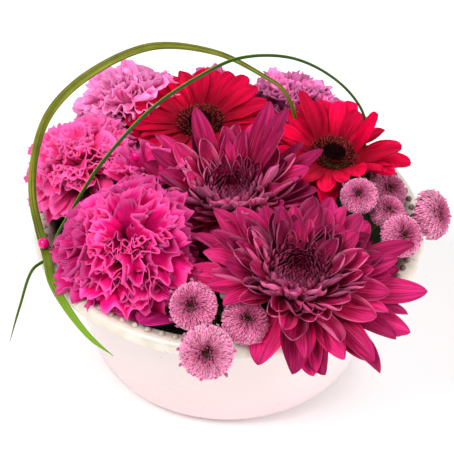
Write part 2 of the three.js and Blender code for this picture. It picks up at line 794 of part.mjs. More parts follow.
function sprayMesh(s) {
  const pieces = [
    stemSolid([[...s.root, FOAM_TOP - STEM_DEPTH], [...s.root, FOAM_TOP + 1], s.fork], [1.7, 1.7, 1.6], 6),
  ];
  for (const button of BUTTONS.filter((b) => b.spray === s.spray)) {
    const frame = frameOf(button.centre, button.face);
    const under = (down) => vec(button.centre).addScaledVector(frame.up, -down);
    const elbow = under(12).lerp(vec(s.fork), 0.35);
    elbow.z = Math.max(elbow.z, Math.hypot(elbow.x, elbow.y) > 94 ? BOWL_H + 3.6 : 0);
    const back = 6.5 * button.scale + SEAT_GAP;
    const points = [s.fork, elbow.toArray(), under(back + 3).toArray(), under(back).toArray()];
    pieces.push(stemSolid(points, [1.3, 1.2, 1.6, 4.4], 6));
  }
  if (s.spray === "right") {
    const neck = vec(BUD.centre).add(new THREE.Vector3(0, 0, -3)).toArray();
    pieces.push(stemSolid([s.fork, [76, 5, 101], neck], [1.2, 1.1, 1.4], 6));
    pieces.push(
      floretHead(
        [[0, 4.6], [2.4, 3.8, 0.4], [4, 1.2, 0.4], [3.6, -2, 0.4], [1.6, -3.6], [0, -3.6]],
        8,
        frameOf(BUD.centre, [0, -0.2, 1]).place,
      ),
    );
  }
  holeFor(s.root[0], s.root[1], 1.7);
  return meshOf(s.name, joined(pieces), LOOKS.green);
}

// ---------------------------------------------------------------- leaves, tucked petal, grass and pins

// A chrysanthemum leaf: its lobes are wide and narrow stations along its middle.
const LEAF_HALVES = [0.7, 0.42, 1, 0.5, 0.8, 0.36];
const LEAVES = [
  { name: "leaf_front", root: [-40, -54], turn: -116, lift: 26, length: 31, half: 12 },
  { name: "leaf_front_right", root: [58, -36], turn: -24, lift: 30, length: 33, half: 13 },
  { name: "leaf_right", root: [44, -8], turn: -14, lift: 34, length: 34, half: 13 },
  { name: "leaf_back", root: [9, 74], turn: 84, lift: 32, length: 24, half: 9 },
  { name: "leaf_back_left", root: [-62, 42], turn: 146, lift: 34, length: 24, half: 9 },
  { name: "leaf_left", root: [-70, -14], turn: 191, lift: 30, length: 26, half: 10 },
];

// The leaf stands on a stalk that is pushed into the foam.
function leafMesh(leaf, color = LOOKS.leaf, halves = LEAF_HALVES) {
  const foot = FOAM_TOP + 3;
  const base = [leaf.root[0], leaf.root[1], foot];
  const [turn, lift, curl] = [leaf.turn, leaf.lift, -26].map(rad);
  const petal = { turn, root: 0, height: 0, lift, curl, length: leaf.length };
  const place = new THREE.Matrix4().makeTranslation(...base);
  const stations = halves.map((half, i) => {
    const s = spineAt(petal, (i + 1) / (halves.length + 1));
    return {
      point: s.point.applyMatrix4(place),
      across: s.across,
      up: s.up,
      half: half * leaf.half,
      cup: half * leaf.half * 0.22,
    };
  });
  const [root, tip] = [0, 1].map((share) => spineAt(petal, share).point.applyMatrix4(place));
  const inward = new THREE.Vector3(Math.cos(petal.turn), Math.sin(petal.turn), 0).multiplyScalar(2.5);
  const stalk = stemSolid(
    [
      [leaf.root[0], leaf.root[1], FOAM_TOP - 20],
      [leaf.root[0], leaf.root[1], foot - 1],
      [leaf.root[0] + inward.x, leaf.root[1] + inward.y, foot + 1],
    ],
    [1.2, 1.2, 0.8],
    6,
  );
  holeFor(leaf.root[0], leaf.root[1], 1.2, 20);
  return meshOf(leaf.name, joined([bladeSolid(root, stations, tip, 1.1), stalk]), color);
}

const TUCKED = { name: "tucked_petal", root: [-25, -72], turn: 225, lift: 34, length: 32, half: 10 };
const TUCKED_HALVES = [0.6, 1, 1.02, 0.8];

function grassMesh(grass) {
  const curve = new THREE.CatmullRomCurve3(grass.points.map(vec), false, "centripetal");
  const steps = 24;
  const faceUp = vec(grass.faceUp).normalize();
  const widthCurve = (share) => {
    const at = share * (grass.widths.length - 1);
    const low = Math.min(Math.floor(at), grass.widths.length - 2);
    return THREE.MathUtils.lerp(grass.widths[low], grass.widths[low + 1], at - low);
  };
  const stations = [];
  for (let k = 1; k < steps; k++) {
    const share = k / steps;
    const along = curve.getTangent(share);
    const across = along.clone().cross(faceUp).normalize();
    const up = across.clone().cross(along).normalize();
    const half = widthCurve(share) / 2;
    stations.push({ point: curve.getPoint(share), across, up, half, cup: half * 0.2 });
  }
  const [x, y] = grass.points[0];
  holeFor(x, y, 2.2, FOAM_TOP - grass.points[0][2]);
  const blade = bladeSolid(curve.getPoint(0), stations, curve.getPoint(1), 0.8);
  return meshOf(grass.name, blade.subtract(pinChannel(PINS[0])), LOOKS.grass);
}

function pinMesh(pin) {
  const head = new THREE.OctahedronGeometry(pin.headRadius, 1).translate(...pin.head);
  const shaft = stemSolid([pin.point, pin.head], [0.45, 0.45], 5);
  const color = pin.name === "pin_front" ? LOOKS.pearlWhite : LOOKS.pearlPink;
  return meshOf(pin.name, joined([solidOfGeometry(head), shaft]), color);
}

// A pin's own narrow channel in whatever it is pushed into, a little deeper than its point.
function pinChannel(pin) {
  const deeper = vec(pin.point).add(vec(pin.point).sub(vec(pin.head)).setLength(HOLE_GAP));
  return stemSolid([deeper.toArray(), pin.head], [0.9, 0.9], 5);
}

// ---------------------------------------------------------------- the whole centerpiece

const centerpiece = new THREE.Group();
centerpiece.name = "floral_centerpiece";

const STEMS = [
  ...MUMS.map((f, i) => [f.name, mumFrames[i], { length: 8, radius: 7.5 }, 3]),
  ...GERBERAS.map((f, i) => [f.name, gerberaFrames[i], { length: 9, radius: 9 }, 2.8]),
  ...CARNATIONS.map((f, i) => [f.name, carnationFrames[i], { length: 11, radius: 5.4 }, 2.2]),
];
const stemMesh = ([name, frame, cup, radius]) =>
  meshOf(`${name}_stem`, cupAndStem(frame, cup, radius), LOOKS.green);
const greens = [
  ...STEMS.map(stemMesh),
  ...SPRAYS.map(sprayMesh),
  ...LEAVES.map((leaf) => leafMesh(leaf)),
  leafMesh(TUCKED, LOOKS.mum, TUCKED_HALVES),
];
// The flowers grow one after the other, the flattest first, each clear of all that is there already.
const buttons = BUTTONS.map(buttonMesh);
const standing = [...guards, ...[...greens, ...buttons].map((mesh) => solidOfGeometry(mesh.geometry))];
function grow(flowers, bloomOf) {
  flowers.forEach((flower, i) => {
    for (const { name, solid, color } of bloomOf(flower, i, standing)) {
      standing.push(solid);
      centerpiece.add(meshOf(name, solid, color));
    }
  });
}

grow(GERBERAS, gerberaBloom);
grow(MUMS, mumBloom);
grow(CARNATIONS, carnationBloom);
centerpiece.add(meshOf("bowl", bowlSolid(), LOOKS.ceramic));
centerpiece.add(...greens, ...buttons, ...GRASS.map(grassMesh), ...PINS.map(pinMesh));
centerpiece.add(meshOf("foam", foamSolid([...holes, ...PINS.map(pinChannel)]), LOOKS.foam));

export default centerpiece;
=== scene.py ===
"""Floral table centerpiece, dressed: fine petals, leaves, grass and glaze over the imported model.

Lengths are millimetres until a mesh is made. The recipes for the flowers repeat those of the model's
source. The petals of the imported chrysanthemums' outer rows, gerberas and carnations are found again in
its meshes, and finer petals are grown on the same middle lines.
"""

import functools
import math

import bpy
import numpy as np
from mathutils import Matrix, Vector, kdtree


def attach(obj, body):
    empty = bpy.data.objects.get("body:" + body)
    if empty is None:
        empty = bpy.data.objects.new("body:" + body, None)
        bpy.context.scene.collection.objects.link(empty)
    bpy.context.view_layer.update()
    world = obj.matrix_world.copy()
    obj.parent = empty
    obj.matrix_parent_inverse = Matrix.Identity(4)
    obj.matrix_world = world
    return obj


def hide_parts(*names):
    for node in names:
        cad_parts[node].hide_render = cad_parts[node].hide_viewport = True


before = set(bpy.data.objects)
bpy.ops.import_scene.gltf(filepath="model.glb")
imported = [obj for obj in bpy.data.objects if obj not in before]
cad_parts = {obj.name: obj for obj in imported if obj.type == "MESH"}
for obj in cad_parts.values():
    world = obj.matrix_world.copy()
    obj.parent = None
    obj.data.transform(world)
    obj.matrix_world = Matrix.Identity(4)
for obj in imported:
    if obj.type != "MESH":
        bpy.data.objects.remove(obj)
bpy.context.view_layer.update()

MM = 0.001
GOLDEN = math.pi * (3 - math.sqrt(5))  # the turn from one floret to the next in a spiral
UP = np.array([0.0, 0.0, 1.0])


def table(keys, *rows):
    """Rows of values as dictionaries with these keys. A row may leave out its last values."""
    return [dict(zip(keys.split(), row)) for row in rows]


# ---------------------------------------------------------------- driving dimensions, as in the model

RIM_R = 110
BOWL_H = 92
BEADS = 84
BEAD_R = 1.9
BEAD_RING_R = RIM_R - 6.2

FOAM_TOP = 80
STEM_DEPTH = 28
STEM_REACH = 77
SEAT_GAP = 0.3

MUM_R = 66
GERBERA_R = 43

MUMS = table(
    "name base face seed scale heart",
    ("mum_middle", (1, -7, 100), (0, -0.1, 1), 11, 1.03, 10.5),
    ("mum_front", (35, -70, 98.5), (0.1, -0.24, 1), 23, 0.97, 13.5),
)
GERBERAS = table(
    "name base face seed scale",
    ("gerbera_back", (-17, 54, 115), (-0.08, -0.12, 1), 31, 1.03),
    ("gerbera_right", (58, 28, 113), (0.14, -0.12, 1), 37, 1.0),
)
# How pale a carnation is, how light its petals are at least, which is painted light on flowers that lie in
# shade, and how far they reach, as a share.
CARNATIONS = table(
    "name base face radius seed rows pale glow reach",
    ("carnation_inner", (-46, 3, 99), (0.05, -0.1, 1), 36, 61, 5, 0.05, 0, 1),
    ("carnation_front", (-51, -46, 97), (-0.12, -0.35, 1), 43, 41, 5, 0, 0, 1),
    ("carnation_left", (-77, 22, 97), (-0.3, 0, 1), 38, 43, 5, 0.22, 0.4, 1),
    ("carnation_back_left", (-54, 74, 98), (-0.2, 0.2, 1), 38, 47, 5, 0.95, 0.3, 1),
    ("carnation_back", (-10, 88, 96), (0, 0.35, 1), 32, 53, 4, 0.6, 0, 0.915),
    ("carnation_back_right", (34, 77, 96), (0.15, 0.25, 1), 34, 59, 5, 0.75, 0, 1),
)
BUTTONS = table(
    "name centre face scale spray pale",
    ("button_front_left", (-17.5, -93.5, 107.5), (-0.35, -0.7, 0.9), 0.92, "front", 0),
    ("button_front_low", (-10, -124, 104), (-0.1, -1, 0.7), 1.02, "front", 1),
    ("button_front_right", (9, -98.5, 101.8), (0.35, -0.42, 1), 0.9, "front", 0),
    ("button_right_outer", (111, -10, 104), (0.9, -0.35, 0.5), 1, "right", 0.6),
    ("button_right_back", (88, 14, 101), (0.45, -0.3, 1), 0.85, "right", 0),
    ("button_right_inner", (71, -13, 118.5), (-0.1, -0.5, 1), 0.75, "right", 0),
    ("button_right_middle", (87, -12.5, 107), (0.2, -0.3, 1), 0.74, "right", 0),
    ("button_right_front", (93, -36, 110), (0.45, -0.7, 0.8), 0.85, "right", 0),
)
BUD = (73, 8, 112)
BUD_FACE = (0, -0.2, 1)

# ---------------------------------------------------------------- small tools


def draw(seed, index):
    """A repeatable draw from 0 to 1, the same as the model's."""
    x = math.sin(seed * 12.9898 + index * 78.233) * 43758.5453
    return x - math.floor(x)


def sway(seed, index):
    """The same draw, from -1 to 1."""
    return 2 * draw(seed, index) - 1


def smooth(x, low, high):
    """0 below low, 1 above high, and an S-shaped slope between them."""
    t = np.clip((x - low) / (high - low), 0, 1)
    return t * t * (3 - 2 * t)


def unit(v):
    v = np.asarray(v, float)
    return v / np.maximum(np.linalg.norm(v, axis=-1, keepdims=True), 1e-9)


def spiral(count):
    """The number, the turn and the share of the way out of each floret in a spiral."""
    return [(n, n * GOLDEN, (n + 0.5) / count) for n in range(count)]


def circle(count):
    return np.linspace(0, 2 * math.pi, count, endpoint=False)


def turned(outline, turn):
    """Rings of points from an outline of radius and height, turned round the axis."""
    radius, height = outline[:, :1], outline[:, 1:]
    return np.stack([radius * np.cos(turn), radius * np.sin(turn), height + 0 * turn], -1)


def eased(values):
    """The values with each inner one drawn towards its neighbours."""
    values[1:-1] = values[1:-1] * 0.5 + (values[:-2] + values[2:]) * 0.25
    return values


def frame_of(base, face):
    """A flower's own frame, as (turn, base): local points p stand at p @ turn.T + base."""
    turn = Vector((0, 0, 1)).rotation_difference(Vector(face).normalized()).to_matrix()
    return np.array(turn), np.array(base, float)


def placed(points, place):
    return points @ place[0].T + place[1]


@functools.cache
def sheet_faces(rows, cols):
    """The faces of a thin closed body whose points are an upper grid and then a lower one."""
    grid = np.arange(rows * cols).reshape(rows, cols)
    upper = np.stack([grid[:-1, :-1], grid[:-1, 1:], grid[1:, 1:], grid[1:, :-1]], -1).reshape(-1, 4)
    rim = np.concatenate([grid[0, :-1], grid[:-1, -1], grid[-1, :0:-1], grid[:0:-1, 0]])
    after = np.roll(rim, -1)
    low = rows * cols
    walls = np.stack([rim, rim + low, after + low, after], -1)
    return np.concatenate([upper, upper[:, ::-1] + low, walls])


class Batch:
    """Many small bodies for one mesh. Each point also gets two triples that the materials read. The shape
    says how far along and across its petal the point lies, and the petal's own tone. The place says
    whether the point is on the back, and gives two more numbers that each material reads in its own way."""

    def __init__(self):
        self.points, self.faces, self.shape, self.place = [], [], [], []
        self.count = 0

    def add(self, points, faces, shape=(0, 0, 0), place=(0, 0, 0)):
        self.points.append(points)
        self.faces += (np.asarray(faces, int) + self.count).tolist()
        self.shape.append(np.broadcast_to(shape, points.shape))
        self.place.append(np.broadcast_to(place, points.shape))
        self.count += len(points)

    def sheet(self, middle, thick, along, across, tone=0.5, second=0.0, third=0.0):
        """A thin body round a grid of middle points."""
        rows, cols = middle.shape[:2]
        normal = unit(np.cross(np.gradient(middle, axis=1), np.gradient(middle, axis=0)))
        offset = normal * (np.asarray(thick)[..., None] / 2)
        points = np.concatenate([(middle + offset).reshape(-1, 3), (middle - offset).reshape(-1, 3)])
        own = np.stack(np.broadcast_arrays(along, across, tone), -1).reshape(-1, 3)
        back = np.repeat([0.0, 1.0], rows * cols)
        place = np.stack(np.broadcast_arrays(back, second, third), -1)
        self.add(points, sheet_faces(rows, cols), np.concatenate([own, own]), place)

    def rings(self, points, second=0.0, third=0.0, along=None):
        """A round body from rings of points, shape (rings, around, 3), with flat ends."""
        count, around = points.shape[:2]
        along = np.linspace(0, 1, count) if along is None else np.full(count, along)
        grid = np.arange(count * around).reshape(count, around)
        after = np.roll(grid, -1, axis=1)
        faces = np.stack([grid[:-1], after[:-1], after[1:], grid[1:]], -1).reshape(-1, 4)
        ends = (np.stack([grid[0, ::-1], grid[-1]]) + self.count).tolist()
        share = np.linspace(0, 1, around, endpoint=False)
        shape = np.stack(np.broadcast_arrays(along[:, None], share, 0.5), -1).reshape(-1, 3)
        self.add(points.reshape(-1, 3), faces, shape, (0.0, second, third))
        self.faces += ends


def piece(name, batch, material, slot, *nodes):
    """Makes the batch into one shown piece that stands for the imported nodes."""
    mesh = bpy.data.meshes.new(name)
    mesh.from_pydata((np.concatenate(batch.points) * MM).tolist(), [], batch.faces)
    for key, rows in (("shape", batch.shape), ("place", batch.place)):
        made = mesh.attributes.new(key, "FLOAT_VECTOR", "POINT")
        made.data.foreach_set("vector", np.concatenate(rows).astype(np.float32).ravel())
    mesh.shade_smooth()
    mesh.materials.append(material)
    obj = bpy.data.objects.new(name, mesh)
    bpy.context.scene.collection.objects.link(obj)
    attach(obj, "root")
    if nodes:
        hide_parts(*nodes)


# ---------------------------------------------------------------- materials


def rgb(code):
    """A colour written as RRGGBB, made linear."""
    parts = [int(code[i : i + 2], 16) / 255 for i in (0, 2, 4)]
    return [c / 12.92 if c <= 0.04045 else ((c + 0.055) / 1.055) ** 2.4 for c in parts] + [1.0]


class Shader:
    """Builds one material's nodes. Colours are written as RRGGBB."""

    def __init__(self, name):
        self.material = bpy.data.materials.new(name)
        self.material.use_nodes = True
        self.tree = self.material.node_tree
        self.tree.nodes.clear()

    def node(self, kind, **settings):
        made = self.tree.nodes.new(kind)
        for key, value in settings.items():
            setattr(made, key, value)
        return made

    def feed(self, socket, value):
        if isinstance(value, bpy.types.NodeSocket):
            self.tree.links.new(value, socket)
        elif value is not None:
            socket.default_value = rgb(value) if isinstance(value, str) else value

    def math(self, operation, a, b=None, clamp=False):
        made = self.node("ShaderNodeMath", operation=operation, use_clamp=clamp)
        self.feed(made.inputs[0], a)
        self.feed(made.inputs[1], b)
        return made.outputs[0]

    def times(self, a, b, clamp=False):
        return self.math("MULTIPLY", a, b, clamp)

    def less(self, a, b):
        return self.math("SUBTRACT", a, b)

    def size(self, a):
        return self.math("ABSOLUTE", a)

    def spread(self, value, low, high, to_low=0.0, to_high=1.0):
        """Maps a value from one range to another, clamped, with smooth ends."""
        made = self.node("ShaderNodeMapRange", interpolation_type="SMOOTHSTEP")
        for socket, v in zip(made.inputs, (value, low, high, to_low, to_high)):
            self.feed(socket, v)
        return made.outputs[0]

    def mix(self, share, a, b, blend="MIX"):
        made = self.node("ShaderNodeMix", data_type="RGBA", blend_type=blend)
        for key, v in ((0, share), (6, a), (7, b)):
            self.feed(made.inputs[key], v)
        return made.outputs[2]

    def coats(self, colour, *coats):
        """Lays coats, each a share and a colour, over a colour one after the other."""
        for share, coat in coats:
            colour = self.mix(share, colour, coat)
        return colour

    def toned(self, colour, tone, low, high):
        """The colour, darker or lighter by the petal's own tone."""
        lighter = self.spread(tone, 0.0, 1.0, low, high)
        return self.mix(1.0, colour, self.vector(lighter, lighter, lighter), "MULTIPLY")

    def split(self, vector):
        parts = self.node("ShaderNodeSeparateXYZ")
        self.feed(parts.inputs[0], vector)
        return parts.outputs

    def numbers(self, name):
        """The three numbers of a mesh attribute."""
        return self.split(self.node("ShaderNodeAttribute", attribute_name=name).outputs["Vector"])

    def vector(self, x, y, z):
        made = self.node("ShaderNodeCombineXYZ")
        for socket, v in zip(made.inputs, (x, y, z)):
            self.feed(socket, v)
        return made.outputs[0]

    def noise(self, at, scale, detail=2.0):
        """Noise at a point, or at three numbers."""
        at = self.vector(*at) if isinstance(at, tuple) else at
        made = self.node("ShaderNodeTexNoise")
        for key, v in (("Vector", at), ("Scale", scale), ("Detail", detail), ("Roughness", 0.5)):
            self.feed(made.inputs[key], v)
        return made.outputs["Fac"]

    def where(self):
        """The point in the object's own space, in metres."""
        return self.node("ShaderNodeTexCoord").outputs["Object"]

    def done(self, colour, roughness, height=None, depth=0.0005, strength=0.6, **settings):
        """The finished material. The depth of its bumps is in metres."""
        shader = self.node("ShaderNodeBsdfPrincipled")
        self.feed(shader.inputs["Base Color"], colour)
        self.feed(shader.inputs["Roughness"], roughness)
        for key, value in settings.items():
            shader.inputs[key.replace("_", " ")].default_value = value
        if height is not None:
            bump = self.node("ShaderNodeBump")
            bump.inputs["Strength"].default_value = strength
            bump.inputs["Distance"].default_value = depth
            self.feed(bump.inputs["Height"], height)
            self.feed(shader.inputs["Normal"], bump.outputs[0])
        out = self.node("ShaderNodeOutputMaterial")
        self.feed(out.inputs[0], shader.outputs[0])
        return self.material


# The faint soft gloss of petals, the glaze of the bowl and the hard gloss of the pins' heads.
VELVET = dict(Specular_IOR_Level=0.05)
GLAZE = dict(Coat_Weight=0.3, Coat_Roughness=0.15)
GLOSS = dict(Specular_IOR_Level=0.1, Coat_Weight=0.6, Coat_Roughness=0.03)


def petal_material(
    name, root, middle, tip, rim, back, back_dark, streaks=9.0, vein=0.35, tip_from=0.5, uneven=0.3
):
    """A petal with a darker root, fine veins along it, a paler rim and a back of its own colour. The
    place's second number says how dark the whole petal is, and its third how pale the rim."""
    s = Shader(name)
    along, across, tone = s.numbers("shape")
    behind, dark, rim_share = s.numbers("place")
    own = s.times(tone, 37.0)
    away = s.size(across)
    fine = s.noise((s.times(across, streaks), along, own), 2.2, 3.0)
    broad = s.noise((s.times(across, 1.6), s.times(along, 1.4), own), 1.4)
    pale = s.noise((s.times(across, streaks * 1.5), along, s.math("ADD", own, 5.0)), 2.4)
    veins = s.spread(fine, 0.42, 0.62)
    pale_rim = s.times(s.times(s.spread(away, 0.5, 1.0), rim_share), s.spread(along, 0.25, 0.6))
    front = s.coats(
        s.mix(s.spread(along, 0.1, 0.75), root, middle),
        (s.spread(along, tip_from, 1.0), tip),
        (s.spread(pale, 0.5, 0.72, 0.0, vein), rim),
        (s.spread(broad, 0.4, 0.68, 0.0, 0.5), root),
        (s.times(veins, vein), root),
        (s.times(rim_share, 0.7), root),
        (s.times(pale_rim, s.spread(pale, 0.35, 0.6, 0.35, 1.0)), rim),
        (dark, root),
    )
    rear = s.coats(
        s.mix(s.spread(along, 0.1, 0.7), back_dark, back),
        (s.times(veins, 0.75), back_dark),
        (s.times(dark, 0.9), root),
        (s.times(s.spread(away, 0.7, 0.95), s.less(1.0, rim_share)), front),
    )
    colour = s.mix(s.spread(behind, 0.5, 1.0), front, rear)
    colour = s.toned(colour, tone, 1 - uneven, 1 + uneven)
    return s.done(colour, s.spread(fine, 0.3, 0.7, 0.42, 0.6), fine, 0.0008, 0.7, **VELVET)


def carnation_material():
    """Hot pink, crimson towards the roots as painted shade in the flower's depth, with paler toothed edges;
    some flowers are paler all over.
    """
    s = Shader("carnation_petal")
    along, across, tone = s.numbers("shape")
    behind, _, pale = s.numbers("place")
    fan = s.noise((s.times(across, 16.0), along, s.times(tone, 41.0)), 2.0, 3.0)
    colour = s.coats(
        # Painted shade: the petals darken to crimson towards their roots, deep in the flower.
        s.mix(s.spread(along, 0.25, 0.8), "740230", "E6127C"),
        (s.spread(along, 0.84, 1.0, 0.0, 0.55), "F66CBC"),
        (s.times(pale, s.spread(along, 0.3, 1.0, 0.2, 0.85)), "F89CD6"),
        (s.spread(fan, 0.45, 0.65, 0.0, 0.25), "BC1062"),
        (s.times(behind, 0.25), "EE78BE"),
    )
    return s.done(s.toned(colour, tone, 0.62, 1.32), 0.6, fan, 0.0008, **VELVET)


def button_material():
    """Pink florets with pale edges, wine red towards a dark green heart; some flowers are paler all over."""
    s = Shader("button_floret")
    along, across, tone = s.numbers("shape")
    behind, ring, pale = s.numbers("place")
    edge = s.spread(s.size(across), 0.4, 0.95, 0.0, 0.6)
    heart = s.spread(ring, 0.06, 0.17, 1.0, 0.0)
    colour = s.coats(
        s.mix(s.spread(along, 0.2, 0.75), "A01452", "D84890"),
        (s.math("MAXIMUM", edge, s.spread(along, 0.78, 1.0, 0.0, 0.7)), "F6C6DE"),
        (s.times(behind, 0.5), "E890BE"),
        (s.times(pale, 0.15), "FAD2E4"),
        (heart, "3E4A16"),
        (s.times(s.spread(ring, 0.17, 0.6, 0.8, 0.0), s.less(1.0, heart)), "A42C62"),
    )
    fine = s.noise((s.times(across, 3.0), along, tone), 3.0)
    return s.done(s.toned(colour, tone, 0.85, 1.15), 0.6, fine, 0.0002, 0.4, **VELVET)


def green_material(name, dark, light, tip=None, stripes=14.0, edge=None):
    """A stem or a blade: stripes along it, uneven tone, and other colours at its end and one edge."""
    s = Shader(name)
    along, across, tone = s.numbers("shape")
    stripe = s.noise((s.times(across, stripes), s.times(along, 3.0), tone), 2.0)
    patch = s.noise(s.where(), 90.0, 3.0)
    colour = s.mix(s.spread(stripe, 0.35, 0.65), dark, light)
    colour = s.mix(s.spread(patch, 0.4, 0.7, 0.0, 0.35), colour, dark)
    if tip:
        colour = s.mix(s.spread(along, 0.6, 1.0), colour, tip)
    if edge:
        colour = s.mix(s.spread(across, 0.45, 0.85), colour, edge)
    return s.done(colour, s.spread(patch, 0.3, 0.7, 0.4, 0.55), stripe, 0.0004, 0.5, Specular_IOR_Level=0.2)


def leaf_material():
    """A dark leaf with a paler rib, slanting side veins and a greyer back."""
    s = Shader("leaf_green")
    along, across, _ = s.numbers("shape")
    behind = s.numbers("place")[0]
    away = s.size(across)
    slant = s.less(s.times(along, 7.0), s.times(away, 1.6))
    side = s.spread(s.size(s.less(s.math("FRACT", slant), 0.5)), 0.0, 0.12, 1.0, 0.0)
    vein = s.math("MAXIMUM", side, s.spread(away, 0.0, 0.07, 1.0, 0.0))
    patch = s.noise(s.where(), 160.0, 3.0)
    colour = s.coats(
        s.mix(s.spread(patch, 0.35, 0.65), "1B2C12", "34501F"),
        (s.times(vein, 0.45), "5E7C3A"),
        (s.times(behind, 0.5), "5A7548"),
    )
    return s.done(colour, 0.5, s.less(patch, vein))


def ceramic_material():
    """A pale pink glaze, cream on the rim band, with brown stains between the beads and a few specks. The
    inside of the wall is painted dark brown as painted shade, and the right side is painted lighter and
    pinker as painted light. The place's second number says where the rim is stained and where the inside lies
    in painted shade, and its third how brown it is: a little on the beads, fully on the inside, as painted
    shade."""
    s = Shader("glaze")
    _, darkening, brown = s.numbers("place")
    where = s.where()
    x, _, z = s.split(where)
    cloud = s.noise(where, 22.0, 3.0)
    cream = s.mix(s.spread(s.noise(where, 110.0, 4.0), 0.35, 0.65), "D3C9BB", "DED7CC")
    # The rim's brown stains and the painted shade of the inside of the wall, mottled.
    stain_and_shade = s.times(darkening, s.spread(s.noise(where, 140.0, 4.0), 0.35, 0.6, 0.2, 1.0))
    colour = s.coats(
        s.mix(s.spread(z, 0.0, 0.06), "E0C4C8", "D8C9C7"),
        # Painted light: the right side of the glaze is painted lighter and pinker.
        (s.spread(x, 0.0, 0.1), "EEDCE0"),
        (s.spread(cloud, 0.4, 0.7, 0.0, 0.3), "DFD2CF"),
        (s.spread(z, 0.079, 0.0845), cream),
        # Brown stains on the rim, and painted shade on the inside of the wall, both stronger towards the
        # right.
        (s.times(stain_and_shade, s.spread(x, -0.02, 0.08, 0.5, 0.85)), "6B4630"),
        # Brown on the beads, and dark brown painted shade on the inside of the wall, both stronger towards
        # the right.
        (s.times(s.times(brown, darkening), s.spread(x, 0.0, 0.08, 0.25, 0.85), clamp=True), "4E342E"),
        (s.times(s.spread(s.noise(where, 260.0, 1.0), 0.76, 0.8), 0.5), "8A6A4C"),
    )
    return s.done(colour, s.spread(cloud, 0.3, 0.7, 0.26, 0.34), cloud, strength=0.15, **GLAZE)


def pearl_material(name, dark, light):
    s = Shader(name)
    patch = s.noise(s.where(), 600.0)
    colour = s.mix(s.spread(patch, 0.3, 0.7), dark, light)
    return s.done(colour, s.spread(patch, 0.3, 0.7, 0.16, 0.24), patch, 0.00005, 0.2, **GLOSS)


def foam_material():
    s = Shader("foam_green")
    where = s.where()
    cells = s.node("ShaderNodeTexVoronoi")
    cells.inputs["Scale"].default_value = 900.0
    s.feed(cells.inputs["Vector"], where)
    patch = s.noise(where, 60.0, 4.0)
    colour = s.mix(s.spread(patch, 0.3, 0.7), "141C10", "24331A")
    return s.done(colour, 0.95, s.math("ADD", cells.outputs["Distance"], patch), 0.0008, 0.9)


def floor_material():
    s = Shader("floor")
    return s.done(s.mix(s.noise(s.where(), 3.0), "F7F7F7", "FAFAFA"), 0.7)


MUM = petal_material(
    "mum_petal", "660222", "D40E5C", "E2287E", "E07CA8", "F078AE", "92104A", 9.0, 0.5, uneven=0.42
)
TUCKED_LOOK = petal_material("tucked_look", "7E0640", "C2187A", "CC2A86", "D869A8", "CC86AE", "A03A74")
GERBERA = petal_material(
    "gerbera_ray", "94001E", "F00040", "FA004C", "F02260", "C80A42", "980628", 6.0, 0.3
)
RING = petal_material(
    "gerbera_floret", "2C040C", "6A0618", "A84840", "8A1824", "7C1220", "4A0814", vein=0.2, tip_from=0.72
)
DISC = petal_material("gerbera_heart", "0C0304", "160406", "2A060C", "36090F", "160406", "0C0304", vein=0.2)
CARNATION = carnation_material()
BUTTON = button_material()
STEM = green_material("stem_green", "37521A", "5F7D2C")
GRASS_WIDE = green_material("grass_wide_green", "3A3C06", "868C20", "6F9E1C", 1.8)
GRASS_NARROW = green_material("grass_narrow_green", "0E2806", "264E12", "385814", 1.2, "7A9424")
LEAF = leaf_material()
CERAMIC = ceramic_material()
PEARLS = {
    "pearl_pink": pearl_material("pearl_pink_gloss", "E2006C", "F80090"),
    "pearl_white": pearl_material("pearl_white_gloss", "F6F2EA", "FFFEFA"),
}
FOAM = foam_material()

# ---------------------------------------------------------------- petals

HOOK_FROM = 0.35  # where a petal's hook begins, as a share of its length


def spine(petal, share):
    """A petal's middle line at the shares of its length: points, the way across and the way up, in the
    flower's own frame. It rises from the level by `lift`, bends by `curl` over its length, and by `hook`
    more towards its tip. The petal's numbers may be arrays too, where it has no hook."""
    lift, turn, length = petal["lift"], petal["turn"], petal["length"]
    bend = petal["curl"] or 1e-4
    slope = lift + bend * share
    out = (np.sin(slope) - np.sin(lift)) / bend
    rise = (np.cos(lift) - np.cos(slope)) / bend
    if petal.get("hook"):
        fine = np.linspace(0, 1, 61)
        path = lift + bend * fine + petal["hook"] * smooth(fine, HOOK_FROM, 1.15)
        slope = np.interp(share, fine, path)
        out, rise = (np.interp(share, fine, travelled(way, fine)) for way in (np.cos(path), np.sin(path)))
    zero = 0 * slope
    radial = np.stack([np.cos(turn) + zero, np.sin(turn) + zero, zero], -1)
    point = radial * (petal["root"] + length * out)[..., None]
    point = point + UP * (petal["height"] + length * rise)[..., None]
    up = UP * np.cos(slope)[..., None] - radial * np.sin(slope)[..., None]
    across = np.stack([np.sin(turn) + zero, -np.cos(turn) + zero, zero], -1)
    return point, across, up


def travelled(speed, at):
    """How far one has come at each value of `at`, at these speeds."""
    return np.concatenate([[0], np.cumsum((speed[1:] + speed[:-1]) / 2 * np.diff(at))])


# The ways in which a packed petal may have been moved clear of its neighbours: steeper, turned and shortened.
EASINGS = np.array(
    [
        (math.radians(lift), math.radians(turn), length)
        for lift in (0, 4, 8, 12, 16, 21, 26, 32, 38, 45, 52, 60, 68, 76)
        for turn in (0, 7, -7, 14, -14)
        for length in (1, 0.93, 0.86, 0.79, 0.72, 0.64, 0.56)
    ]
)
MATCH = 0.3  # how near a packed vertex has to lie to a petal's corner
SHORT = 22  # up to this length a packed petal is cut more simply


@functools.cache
def corners_of(node):
    """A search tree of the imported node's vertices, in millimetres."""
    points = [v.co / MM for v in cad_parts[node].data.vertices]
    tree = kdtree.KDTree(len(points))
    for i, point in enumerate(points):
        tree.insert(point, i)
    tree.balance()
    return tree


